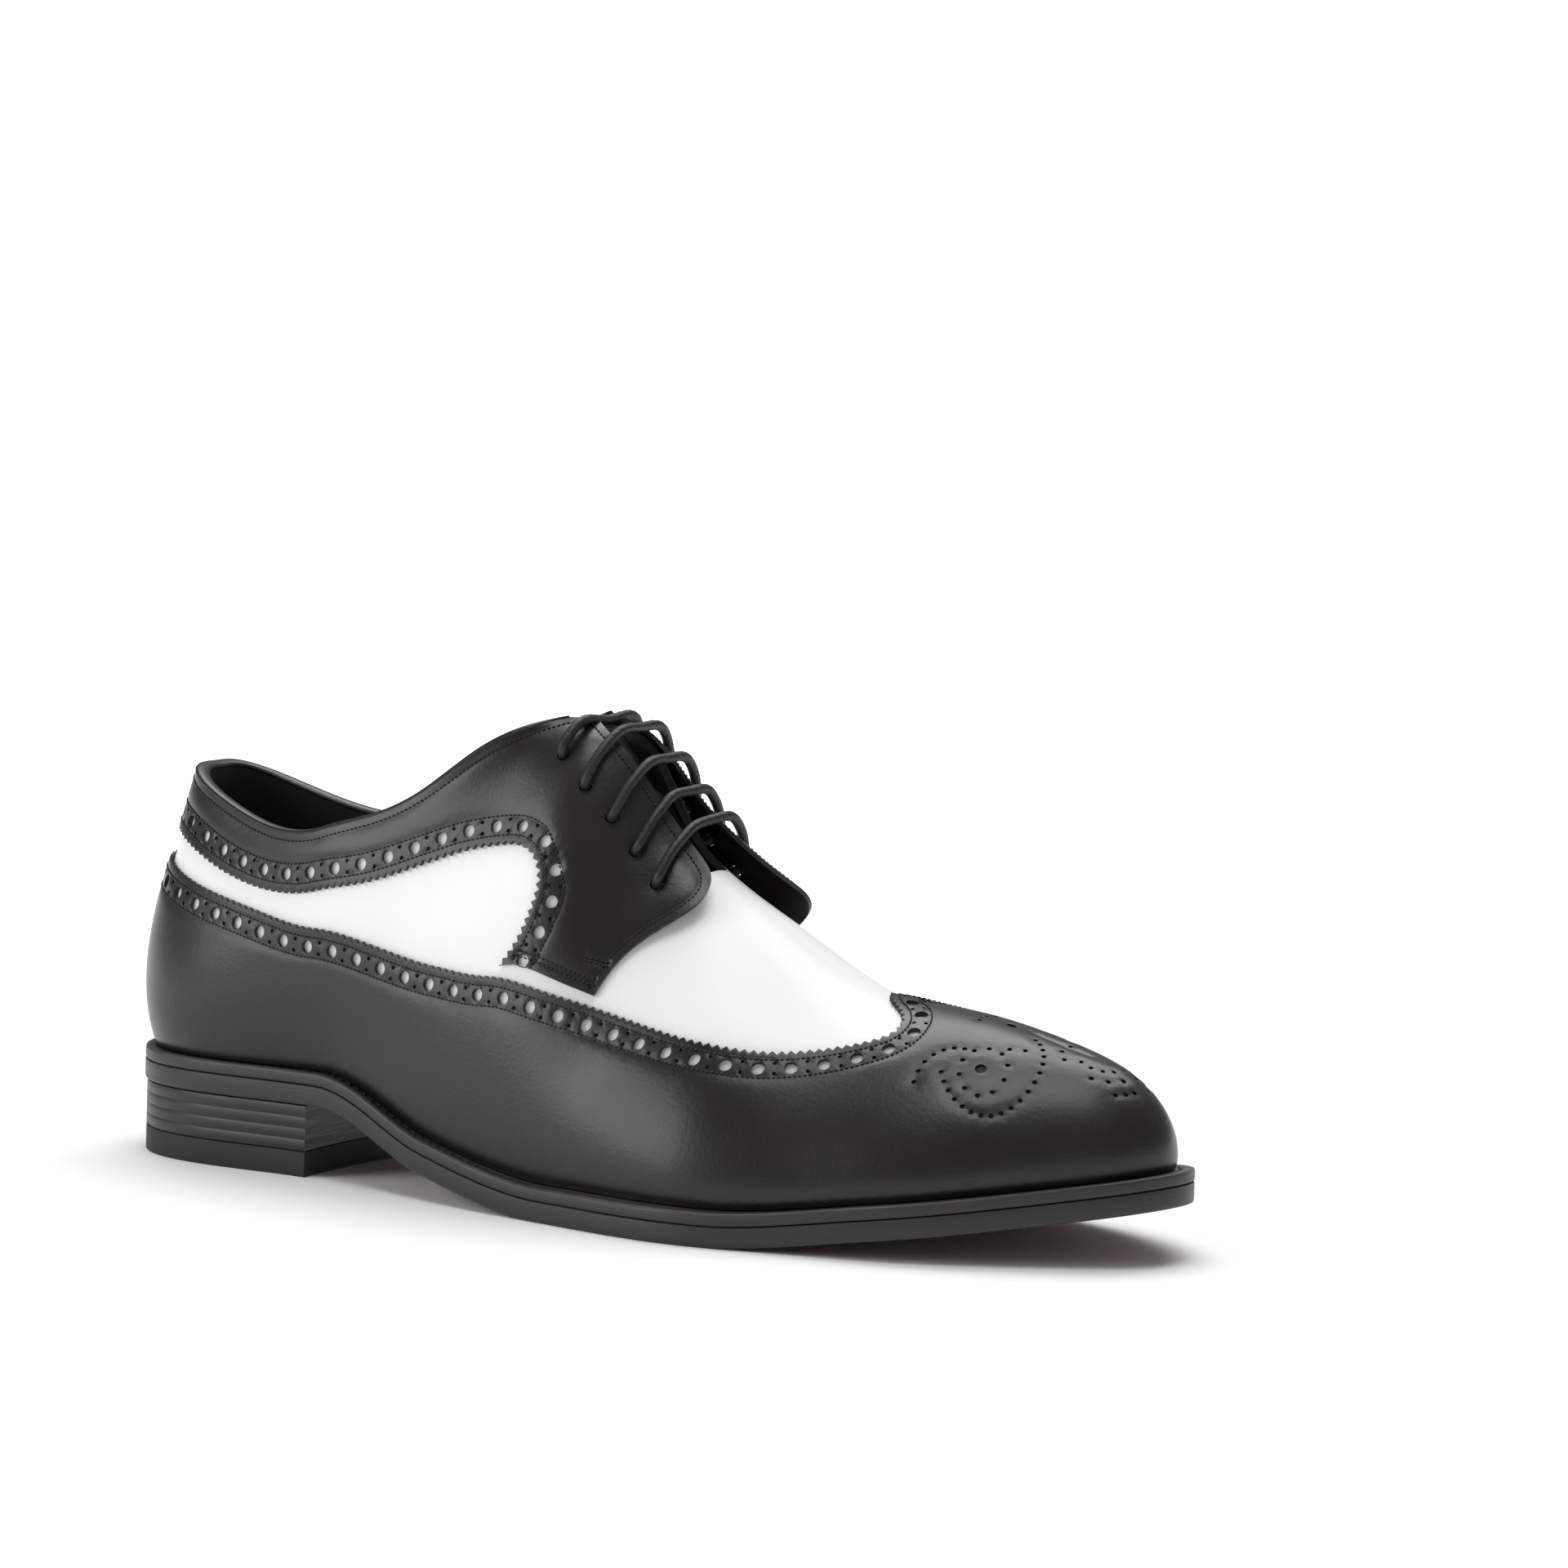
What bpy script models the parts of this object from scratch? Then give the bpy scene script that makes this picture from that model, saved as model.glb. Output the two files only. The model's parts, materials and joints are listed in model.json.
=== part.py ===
"""One right longwing derby shoe: leather sole and stacked heel, white shell, black overlays, lace.

Units are metres. +X runs to the toe, +Y to the inner side of the foot, +Z up. The origin is the
centre of the heel's ground face. Every part of the upper is a layer of one last, so all of them
follow the same sections.
"""

import bmesh
import bpy
import numpy as np
from mathutils import Vector
from mathutils.geometry import delaunay_2d_cdt

# Sole
SOLE_LENGTH = 0.302
BALL_WIDTH = 0.108
WAIST_WIDTH = 0.070
HEEL_WIDTH = 0.066
HEEL_HEIGHT = 0.0187
HEEL_LENGTH = 0.067
TOE_SPRING = 0.0145
TOE_SWING = 0.0075
OUTSOLE_THICKNESS = 0.0052
WELT_THICKNESS = 0.0034
TOP_PIECE_THICKNESS = 0.0065
INSOLE_RISE = 0.0015
WELT_MARGIN = 0.0070
EDGE_CHAMFER = 0.0006
BREAST_CURVE = 0.0025
SEAT_FLAT = 0.0025

# Last
BACK_HEIGHT = 0.0725
ANKLE_HEIGHT = 0.0605
INSTEP_HEIGHT = 0.1080
BALL_HEIGHT = 0.0660
TOE_HEIGHT = 0.0260
COLLAR_WIDTH = 0.0540
SIDE_BULGE = 0.0070
THROAT_PLACE = 0.430

# Leather and lace
WALL = 0.0020
OVERLAY_THICKNESS = 0.0013
TONGUE_THICKNESS = 0.0016
FLAP_LIFT = 0.0035
INNER_FLAP_LIFT = 0.0065
INNER_FLAP_REACH = 0.030
EYELET_DIAMETER = 0.0042
LACE_DIAMETER = 0.00265
LACE_HUMP = 0.0022
GAP = 0.0003
LACE_CLEARANCE = 0.0007

# Facets
LINES = 38
ROWS = 8
CROWDING_ALONG = 0.085
CROWDING_UP = 0.050
EYELET_SIDES = 8
BREAST_POINTS = 5
LACE_STEPS = 5
LACE_EXTRA_POINTS = 8

# Sole outline: place along the length, and the outer and inner half widths as shares of a size
OUTLINE = (
    # name, along, follows, outer, inner
    ("heel_back", 0.000, "heel", 0.000, 0.000),
    ("heel_turn", 0.020, "heel", 0.283, 0.285),
    ("heel_round", 0.052, "heel", 0.418, 0.420),
    ("heel_side", 0.115, "heel", 0.495, 0.495),
    ("heel_front", 0.210, "heel", 0.490, 0.475),
    ("waist", 0.390, "waist", 0.625, 0.400),
    ("waist_front", 0.520, "ball", 0.472, 0.335),
    ("ball_outer", 0.640, "ball", 0.503, 0.440),
    ("ball_inner", 0.735, "ball", 0.443, 0.500),
    ("vamp_front", 0.840, "ball", 0.355, 0.455),
    ("toe_shoulder", 0.930, "ball", 0.198, 0.342),
    ("toe_turn", 0.980, "ball", 0.080, 0.214),
    ("toe_tip", 1.000, "swing", -1.000, 1.000),
)

# Underside of the sole, as shares of the heel height and of the toe spring
SOLE_LINE = (
    # name, along, heel_share, spring_share
    ("back", 0.000, 1.000, 0.000),
    ("heel_front", (HEEL_LENGTH + SEAT_FLAT) / SOLE_LENGTH, 1.000, 0.000),
    ("arch", 0.360, 0.350, 0.000),
    ("tread_rear", 0.500, 0.000, 0.000),
    ("tread_front", 0.660, 0.000, 0.000),
    ("roll", 0.800, 0.000, 0.330),
    ("tip", 1.000, 0.000, 1.000),
)

# Sections of the last. place: 0 at the heel back, 1 at the toe tip, along the outline.
# margin: share of the welt margin. along, half: the upper end of the section, as shares of the
# sole length and the collar width. body: like half, for the leather under the topline. rise:
# share of the height that the row follows. swing: share of the toe swing. bulge: share of the
# side bulge. The last three are shares of the rise and shape the section's curve.
SECTIONS = (
    # name, place, margin, along, half, body, follows, rise, swing, bulge, belly, shoulder, crown
    ("heel_back", 0.000, 0.60, 0.044, 0.000, 0.000, "back", 1.000, 0.00, 1.20, 0.30, 0.11, 0.38),
    ("heel_turn", 0.055, 0.60, 0.048, 0.155, 0.155, "back", 0.995, 0.00, 1.15, 0.30, 0.10, 0.38),
    ("heel_round", 0.100, 0.60, 0.070, 0.285, 0.285, "back", 0.955, 0.00, 1.00, 0.30, 0.07, 0.38),
    ("heel_side", 0.155, 0.60, 0.122, 0.392, 0.392, "back", 0.875, 0.00, 0.90, 0.31, 0.06, 0.36),
    ("ankle", 0.235, 0.65, 0.205, 0.490, 0.490, "ankle", 1.000, 0.00, 0.90, 0.32, 0.06, 0.34),
    ("facing_rear", 0.340, 0.75, 0.318, 0.450, 0.450, "instep", 0.770, 0.00, 0.85, 0.28, 0.07, 0.28),
    ("facing_top", 0.400, 0.82, 0.405, 0.290, 0.305, "instep", 0.985, 0.00, 0.85, 0.25, 0.09, 0.22),
    ("throat", 0.430, 0.88, 0.450, 0.000, 0.215, "instep", 1.020, 0.00, 0.85, 0.25, 0.11, 0.05),
    ("instep", 0.510, 1.00, 0.513, 0.000, 0.045, "instep", 0.860, 0.08, 0.85, 0.26, 0.15, 0.04),
    ("ball_outer", 0.620, 1.00, 0.617, 0.000, 0.000, "ball", 1.000, 0.35, 0.70, 0.28, 0.36, 0.03),
    ("ball_inner", 0.710, 1.00, 0.710, 0.000, 0.000, "ball", 0.735, 0.62, 0.65, 0.30, 0.48, 0.02),
    ("vamp_front", 0.800, 1.00, 0.795, 0.000, 0.000, "toe", 1.550, 0.80, 0.55, 0.34, 0.50, 0.02),
    ("toe_shoulder", 0.890, 0.95, 0.855, 0.000, 0.000, "toe", 1.250, 0.90, 0.45, 0.42, 0.50, 0.02),
    ("toe_turn", 0.950, 0.90, 0.888, 0.000, 0.000, "toe", 1.050, 0.93, 0.38, 0.46, 0.54, 0.02),
    ("toe_tip", 1.000, 0.90, 0.900, 0.000, 0.000, "toe", 0.970, 0.95, 0.35, 0.46, 0.58, 0.02),
)

# Panel edges on the last: place along the outline, rise from the feather (0) to the top (1)
WING_TOP = (
    # name, place, rise
    ("heel_back", 0.000, 0.715),
    ("heel_turn", 0.063, 0.697),
    ("heel_side", 0.138, 0.674),
    ("ankle", 0.203, 0.655),
    ("ankle_front", 0.258, 0.590),
    ("waist_rear", 0.317, 0.527),
    ("waist", 0.374, 0.463),
    ("waist_front", 0.416, 0.400),
    ("throat", 0.440, 0.380),
    ("tab", 0.468, 0.383),
    ("tab_front", 0.508, 0.416),
    ("instep", 0.554, 0.449),
    ("ball_rear", 0.600, 0.472),
    ("ball", 0.640, 0.506),
    ("vamp_rear", 0.672, 0.550),
    ("vamp", 0.704, 0.612),
    ("cheek", 0.733, 0.681),
    ("valley_low", 0.748, 0.741),
    ("valley", 0.750, 0.804),
    ("neck", 0.740, 0.876),
    ("peak_side", 0.727, 0.940),
    ("peak", 0.722, 1.000),
)
QUARTER_FRONT = (
    # name, place, rise, share of the inner flap's longer reach
    ("facing_top", 0.414, 1.000, 0.00),
    ("facing_corner", 0.428, 0.966, 0.00),
    ("facing_upper", 0.444, 0.922, 0.00),
    ("facing_rear", 0.468, 0.899, 0.00),
    ("facing_middle", 0.492, 0.896, 0.20),
    ("facing_front", 0.521, 0.895, 0.60),
    ("facing_lower", 0.550, 0.883, 1.00),
    ("flap_corner", 0.565, 0.864, 1.00),
    ("flap_turn", 0.571, 0.828, 1.00),
    ("flap_nose", 0.570, 0.778, 1.00),
    ("flap_front", 0.561, 0.718, 1.00),
    ("flap_side", 0.541, 0.628, 0.90),
    ("tab_side", 0.521, 0.530, 0.70),
    ("tab_front", 0.508, 0.436, 0.50),
    ("tab_middle", 0.465, 0.406, 0.30),
    ("tab_rear", 0.422, 0.413, 0.00),
    ("loop_foot", 0.432, 0.448, 0.00),
    ("loop_low", 0.438, 0.501, 0.00),
    ("loop_front", 0.439, 0.551, 0.00),
    ("loop_turn", 0.433, 0.590, 0.00),
    ("loop_top", 0.422, 0.630, 0.00),
    ("loop_crest", 0.405, 0.677, 0.00),
    ("loop_rear", 0.380, 0.727, 0.00),
    ("collar_front", 0.337, 0.757, 0.00),
    ("collar_ankle", 0.284, 0.741, 0.00),
    ("collar_rear", 0.241, 0.748, 0.00),
    ("collar_side", 0.151, 0.757, 0.00),
    ("collar_turn", 0.080, 0.793, 0.00),
    ("collar_back", 0.000, 0.800, 0.00),
)
SHELL_TOP = (
    # name, place, rise
    ("heel_back", 0.000, 1.000),
    ("facing_top", 0.396, 1.000),
    ("slot_top", 0.411, 0.965),
    ("slot_corner", 0.430, 0.920),
    ("slot_upper", 0.460, 0.878),
    ("slot_middle", 0.500, 0.870),
    ("slot_lower", 0.545, 0.860),
    ("slot_turn", 0.560, 0.925),
    ("slot_front", 0.563, 1.000),
)
TONGUE_SIDE = (
    # name, place, rise
    ("tip_middle", THROAT_PLACE, 1.000),
    ("tip_side", THROAT_PLACE, 0.780),
    ("side", 0.500, 0.700),
    ("foot_side", 0.600, 0.790),
    ("foot_middle", 0.610, 1.000),
)
EYELETS = (
    # name, place, rise, whether it goes on through the shell
    ("eyelet_1", 0.427, 0.835, True),
    ("eyelet_2", 0.452, 0.755, True),
    ("eyelet_3", 0.478, 0.738, True),
    ("eyelet_4", 0.504, 0.737, False),
    ("eyelet_5", 0.531, 0.729, False),
)
FACING_EDGE_RISE = 0.905

WIDTHS = {"heel": HEEL_WIDTH, "waist": WAIST_WIDTH, "ball": BALL_WIDTH, "swing": TOE_SWING}
HEIGHTS = {
    "back": BACK_HEIGHT,
    "ankle": ANKLE_HEIGHT,
    "instep": INSTEP_HEIGHT,
    "ball": BALL_HEIGHT,
    "toe": TOE_HEIGHT,
}
SEAT = OUTSOLE_THICKNESS + WELT_THICKNESS + GAP
TINY = 1e-4

# Where a facing starts to stand off, along its place and up its rise
LIFT_PLACE = 0.440
LIFT_PLACE_SPAN = 0.120
LIFT_RISE = 0.500
LIFT_RISE_SPAN = 0.350

# Rise from which the two sides share their normals, and rise up to which the foot stays level
RIDGE_FROM = 0.800
FOOT_LEVEL_TO = 0.200
SEAT_FADE = 6

# How fast the leather under the topline takes up the topline's own width
TOPLINE_FADE = 10

# Mesh tolerances
SHARP_ANGLE = 0.6
SLOPE_STEP = 1e-3
MERGE_DISTANCE = 2e-6
FLAT_TOLERANCE = 1e-7

BLACK_CALF = ("black_calf", (0.018, 0.016, 0.017), 0.38)
WHITE_CALF = ("white_calf", (0.90, 0.90, 0.89), 0.45)
BLACK_EDGE = ("black_sole_leather", (0.020, 0.019, 0.019), 0.50)
RUBBER = ("black_top_piece", (0.012, 0.012, 0.012), 0.65)
LINING = ("black_lining", (0.022, 0.021, 0.021), 0.70)
COTTON = ("waxed_black_cord", (0.010, 0.010, 0.010), 0.55)


def spline(keys, values):
    """Return the natural cubic spline through the values."""
    keys, values = np.asarray(keys, float), np.asarray(values, float)
    count, width = len(keys), np.diff(keys)
    matrix, right = np.zeros((count, count)), np.zeros(count)
    matrix[0, 0] = matrix[-1, -1] = 1
    for i in range(1, count - 1):
        matrix[i, i - 1:i + 2] = width[i - 1], 2 * (width[i - 1] + width[i]), width[i]
        slope = np.diff(values[i - 1:i + 2]) / width[i - 1:i + 1]
        right[i] = 6 * (slope[1] - slope[0])
    bend = np.linalg.solve(matrix, right)

    def curve(x):
        x = np.asarray(x, float)
        i = np.clip(np.searchsorted(keys, x, side="right") - 1, 0, count - 2)
        after, before, w = keys[i + 1] - x, x - keys[i], width[i]
        cubic = (bend[i] * after**3 + bend[i + 1] * before**3) / (6 * w)
        low = (values[i] / w - bend[i] * w / 6) * after
        high = (values[i + 1] / w - bend[i + 1] * w / 6) * before
        return cubic + low + high

    return curve


def loop_spline(keys, outer, inner=None):
    """Return a smooth closed curve over 0 to 2: outer side first, then the inner side back."""
    inner = outer if inner is None else inner
    keys = np.r_[keys, 2 - np.asarray(keys)[-2:0:-1]]
    values = np.r_[outer, np.asarray(inner)[-2:0:-1]]
    curve = spline(np.r_[keys - 2, keys, keys + 2], np.r_[values, values, values])
    return lambda place: curve(np.mod(place, 2))


def steady(keys, values):
    """Return a cubic through the values that never swings past them."""
    keys, values = np.asarray(keys, float), np.asarray(values, float)
    width = np.diff(keys)
    slope = np.diff(values) / width
    tangent = np.zeros(len(keys))
    for i in range(1, len(keys) - 1):
        if slope[i - 1] * slope[i] > 0:
            tangent[i] = 2 * slope[i - 1] * slope[i] / (slope[i - 1] + slope[i])
    tangent[-1] = 1.5 * slope[-1] - 0.5 * tangent[-2]

    def curve(x):
        x = np.clip(np.asarray(x, float), keys[0], keys[-1])
        i = np.clip(np.searchsorted(keys, x, side="right") - 1, 0, len(keys) - 2)
        u, w = (x - keys[i]) / width[i], width[i]
        start = values[i] * (1 + 2 * u) + tangent[i] * w * u
        end = values[i + 1] * (3 - 2 * u) + tangent[i + 1] * w * (u - 1)
        return start * (1 - u) ** 2 + end * u**2

    return curve


def ease(x):
    """Return a smooth step from 0 to 1."""
    x = np.clip(x, 0, 1)
    return x * x * (3 - 2 * x)


def outline_places():
    """Return each outline row's place: its share of the way round, mean of both sides."""
    x = np.array([row[1] * SOLE_LENGTH for row in OUTLINE])
    steps = np.zeros(len(x) - 1)
    for side in (3, 4):
        y = np.array([row[side] * WIDTHS[row[2]] for row in OUTLINE])
        steps += np.hypot(np.diff(x), np.diff(y)) / 2
    return np.r_[0, np.cumsum(steps)] / steps.sum(), steps.sum()


PLACES_OF_OUTLINE, HALF_LENGTH = outline_places()
OUTLINE_X = loop_spline(PLACES_OF_OUTLINE, [row[1] * SOLE_LENGTH for row in OUTLINE])
OUTLINE_Y = loop_spline(
    PLACES_OF_OUTLINE,
    [-row[3] * WIDTHS[row[2]] for row in OUTLINE],
    [row[4] * WIDTHS[row[2]] for row in OUTLINE],
)
SOLE_BOTTOM = steady(
    [row[1] * SOLE_LENGTH for row in SOLE_LINE],
    [row[2] * HEEL_HEIGHT + row[3] * TOE_SPRING for row in SOLE_LINE],
)

SECTION_PLACES = [row[1] for row in SECTIONS]
SECTION_RISES = np.array([HEIGHTS[row[6]] * row[7] for row in SECTIONS])
MARGIN = loop_spline(SECTION_PLACES, [row[2] * WELT_MARGIN for row in SECTIONS])
TOP_ALONG = loop_spline(SECTION_PLACES, [row[3] * SOLE_LENGTH for row in SECTIONS])
TOP_RISE = loop_spline(SECTION_PLACES, SECTION_RISES)
TOP_SWING = steady(SECTION_PLACES, [row[8] * TOE_SWING for row in SECTIONS])
BULGE = loop_spline(SECTION_PLACES, [row[9] * SIDE_BULGE for row in SECTIONS])
BELLY = loop_spline(SECTION_PLACES, SECTION_RISES * [row[10] for row in SECTIONS])
SHOULDER = loop_spline(SECTION_PLACES, SECTION_RISES * [row[11] for row in SECTIONS])
CROWN = loop_spline(SECTION_PLACES, SECTION_RISES * [row[12] for row in SECTIONS])
COLLAR_ROWS = [row for row in SECTIONS if row[1] <= THROAT_PLACE]
COLLAR_HALF = spline([row[1] for row in COLLAR_ROWS], [row[4] * COLLAR_WIDTH for row in COLLAR_ROWS])
BODY_HALF = spline(SECTION_PLACES, [row[5] * COLLAR_WIDTH for row in SECTIONS])


def half_place(place):
    """Return the place folded onto the outer half, and the side: -1 outer, 1 inner."""
    around = np.mod(place, 2)
    return np.where(around > 1, 2 - around, around), np.where(around > 1, 1.0, -1.0)


def outward(place):
    """Return the outline's outward direction in plan."""
    dx = OUTLINE_X(place + TINY) - OUTLINE_X(place - TINY)
    dy = OUTLINE_Y(place + TINY) - OUTLINE_Y(place - TINY)
    length = np.hypot(dx, dy)
    return dy / length, -dx / length


def inset(place, depth):
    """Return the plan point at a depth inside the sole's outline."""
    nx, ny = outward(place)
    return OUTLINE_X(place) - nx * depth, OUTLINE_Y(place) - ny * depth


def last(place, rise):
    """Return the last's surface point: a cubic from the feather, over the bulge, to the top."""
    near, side = half_place(place)
    nx, ny = outward(place)
    foot_x, foot_y = inset(place, MARGIN(place))
    foot_z = SOLE_BOTTOM(foot_x) + SEAT
    open_half = np.where(near < THROAT_PLACE, COLLAR_HALF(np.minimum(near, THROAT_PLACE)), 0)
    body_half = np.maximum(BODY_HALF(near), 0)
    top_x, top_y = TOP_ALONG(place), side * body_half + TOP_SWING(near)
    top_z = foot_z + TOP_RISE(place)
    mx, my = foot_x - top_x, foot_y - top_y
    span = np.hypot(mx, my)
    mx, my = mx / span, my / span
    bulge, belly = BULGE(place), BELLY(place)
    shoulder, crown = SHOULDER(place), CROWN(place)
    foot = np.stack([foot_x, foot_y, foot_z])
    low = np.stack([foot_x + nx * bulge, foot_y + ny * bulge, foot_z + belly])
    high = np.stack([top_x + mx * shoulder, top_y + my * shoulder, top_z - crown])
    top = np.stack([top_x, top_y, top_z])
    free = 1 - rise
    point = free**3 * foot + 3 * rise * free**2 * low + 3 * rise**2 * free * high + rise**3 * top
    point[1] += side * (open_half - body_half) * rise**TOPLINE_FADE
    return point


def last_normal(place, rise):
    """Return the last's outward normal, level at the feather and even across the ridge."""

    def raw(at):
        inner = np.clip(rise, 2 * TINY, 1 - 2 * TINY)
        along = last(at + TINY, inner) - last(at - TINY, inner)
        up = last(at, inner + TINY) - last(at, inner - TINY)
        normal = np.cross(along, up, axis=0)
        return normal / np.linalg.norm(normal, axis=0)

    near, _ = half_place(place)
    shared = 0.5 * ease((rise - RIDGE_FROM) / (1 - RIDGE_FROM))
    across = np.where(near >= THROAT_PLACE, shared, 0)
    normal = (1 - across) * raw(place) + across * raw(2 - place)
    normal[2] *= np.clip(rise / FOOT_LEVEL_TO, 0, 1)
    return normal / np.linalg.norm(normal, axis=0)


def flap_lift(place, rise):
    """Return how far the free front of a facing stands off the vamp."""
    near, side = half_place(place)
    height = np.where(side > 0, INNER_FLAP_LIFT, FLAP_LIFT)
    along = ease((near - LIFT_PLACE) / LIFT_PLACE_SPAN)
    return height * along * ease((rise - LIFT_RISE) / LIFT_RISE_SPAN)


def layer(place, rise, depth, lift=0.0):
    """Return a point of the layer at a depth outside the last. Its foot stays on the welt."""
    surface = last(place, rise)
    point = surface + last_normal(place, rise) * (depth + lift)
    seat = SOLE_BOTTOM(point[0]) - SOLE_BOTTOM(surface[0])
    point[2] += seat * (1 - rise) ** SEAT_FADE
    return point


def grid_lines():
    """Return the places and rises of the facets, closer together at heel, toe and edges."""
    even = np.linspace(0, 1, LINES + 1)
    half = even - CROWDING_ALONG * np.sin(2 * np.pi * even)
    seat_front = np.interp(HEEL_LENGTH + SEAT_FLAT, OUTLINE_X(half), half)
    for pinned in (THROAT_PLACE, seat_front):
        half[np.argmin(abs(half - pinned))] = pinned
    even = np.linspace(0, 1, ROWS + 1)
    return np.r_[half, 2 - half[-2::-1]], even - CROWDING_UP * np.sin(2 * np.pi * even)


PLACES, RISES = grid_lines()
LOOP = PLACES[:-1]


class Layer:
    """The last's facets at one depth. Layers share their facets, so they stay parallel."""

    def __init__(self, depth, lifted=False):
        place, rise = np.meshgrid(PLACES, RISES, indexing="ij")
        place, rise = place.ravel(), rise.ravel()
        lift = flap_lift(place, rise) if lifted else 0.0
        points = layer(place, rise, depth, lift)
        self.points = points.T.reshape(len(PLACES), len(RISES), 3)

    def at(self, place, rise):
        """Return the point of the facets at a place and rise."""
        i = int(np.clip(np.searchsorted(PLACES, place, side="right") - 1, 0, len(PLACES) - 2))
        j = int(np.clip(np.searchsorted(RISES, rise, side="right") - 1, 0, len(RISES) - 2))
        a = (place - PLACES[i]) / (PLACES[i + 1] - PLACES[i])
        b = (rise - RISES[j]) / (RISES[j + 1] - RISES[j])
        cell = self.points[i:i + 2, j:j + 2]
        if a >= b:
            return (1 - a) * cell[0, 0] + (a - b) * cell[1, 0] + b * cell[1, 1]
        return (1 - b) * cell[0, 0] + (b - a) * cell[0, 1] + a * cell[1, 1]

    def slopes(self, place, rise):
        """Return the facets' change in space for one unit of place and of rise."""
        step = SLOPE_STEP
        along = (self.at(place + step, rise) - self.at(place - step, rise)) / (2 * step)
        up = (self.at(place, rise + step) - self.at(place, rise - step)) / (2 * step)
        return along, up


def material(finish):
    """Return the Principled material of a finish: name, colour, roughness."""
    name, colour, roughness = finish
    found = bpy.data.materials.get(name) or bpy.data.materials.new(name)
    found.use_nodes = True
    shader = found.node_tree.nodes["Principled BSDF"]
    shader.inputs["Base Color"].default_value = (*colour, 1)
    shader.inputs["Roughness"].default_value = roughness
    found.diffuse_color = (*colour, 1)
    return found


def from_heel(point):
    """Return a point measured from the centre of the heel's ground face."""
    return Vector((point[0] - HEEL_LENGTH / 2, point[1], point[2]))


def solid(name, points, faces, finish):
    """Make one closed object from points and faces."""
    mesh = bpy.data.meshes.new(name)
    mesh.from_pydata([from_heel(point) for point in points], [], faces)
    shape = bmesh.new()
    shape.from_mesh(mesh)
    bmesh.ops.triangulate(shape, faces=shape.faces)
    shape.to_mesh(mesh)
    shape.free()
    mesh.shade_smooth()
    mesh.set_sharp_from_angle(angle=SHARP_ANGLE)
    mesh.materials.append(material(finish))
    thing = bpy.data.objects.new(name, mesh)
    bpy.context.collection.objects.link(thing)
    return thing


def inside(outline, x, y):
    """Return whether a point lies inside a closed outline."""
    crossings = 0
    for (ax, ay), (bx, by) in zip(outline, outline[1:] + outline[:1]):
        if (ay > y) != (by > y) and x < ax + (y - ay) / (by - ay) * (bx - ax):
            crossings += 1
    return crossings % 2 == 1


def cut_facets(outlines):
    """Return flat points and triangles of the facets inside an odd number of the outlines."""
    rows = len(RISES)
    points = [(p, r) for p in PLACES for r in RISES]
    edges = []
    for i in range(len(PLACES)):
        for j in range(rows):
            here = i * rows + j
            if i + 1 < len(PLACES):
                edges.append((here, here + rows))
            if j + 1 < rows:
                edges.append((here, here + 1))
            if i + 1 < len(PLACES) and j + 1 < rows:
                edges.append((here, here + rows + 1))
    for outline in outlines:
        start = len(points)
        points += outline
        edges += [(start + k, start + (k + 1) % len(outline)) for k in range(len(outline))]
    scale = HALF_LENGTH / INSTEP_HEIGHT
    flat = [Vector((p * scale, r)) for p, r in points]
    found, _, faces, _, _, _ = delaunay_2d_cdt(flat, edges, [], 0, FLAT_TOLERANCE)
    found = [(v.x / scale, v.y) for v in found]
    kept = []
    for face in faces:
        x, y = np.mean([found[k] for k in face], axis=0)
        if sum(inside(outline, x, y) for outline in outlines) % 2:
            (ax, ay), (bx, by), (cx, cy) = [found[k] for k in face]
            turns_left = (bx - ax) * (cy - ay) > (by - ay) * (cx - ax)
            kept.append(tuple(face) if turns_left else tuple(reversed(face)))
    return found, kept


def panel(name, outlines, under, over, finish):
    """Make a leather panel: the facets inside the outlines, between two layers."""
    flat, triangles = cut_facets(outlines)
    number, inner, outer = {}, [], []

    def corner(k):
        place, rise = min(max(flat[k][0], 0), 2), min(max(flat[k][1], 0), 1)
        low, high = under.at(place, rise), over.at(place, rise)
        key = tuple(np.round(np.r_[low, high] / MERGE_DISTANCE).astype(int))
        if key not in number:
            number[key] = len(inner)
            inner.append(low)
            outer.append(high)
        return number[key]

    joined = {k: corner(k) for triangle in triangles for k in triangle}
    skin = [tuple(joined[k] for k in triangle) for triangle in triangles]
    skin = [triangle for triangle in skin if len(set(triangle)) == 3]
    edges = {(t[k], t[(k + 1) % 3]) for t in skin for k in range(3)}
    shift = len(inner)
    faces = [tuple(k + shift for k in t) for t in skin] + [t[::-1] for t in skin]
    faces += [(a, b, b + shift, a + shift) for a, b in sorted(edges) if (b, a) not in edges]
    return solid(name, inner + outer, faces, finish)


def edge(rows, inner_side=False):
    """Return a table's edge as flat points, for the outer side or turned to the inner side."""
    points = [(place, rise) for _, place, rise in rows]
    return [(2 - place, rise) for place, rise in points] if inner_side else points


def across_both(rows):
    """Return the closed outline of a panel that runs from the feather up to an edge, all round."""
    outer, inner = edge(rows), edge(rows, inner_side=True)
    return [(0.0, 0.0), (2.0, 0.0)] + inner + outer[::-1]


def quarter_outline(inner_side):
    """Return the outline of one quarter. The two meet at the heel back with a seam gap."""
    seam = GAP / (2 * HALF_LENGTH)
    reach = INNER_FLAP_REACH if inner_side else 0.0
    rows = [("top_back", seam, 1.0)]
    for name, place, rise, share in QUARTER_FRONT:
        rows.append((name, max(place + reach * share, seam), rise))
    return edge(rows, inner_side)


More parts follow.
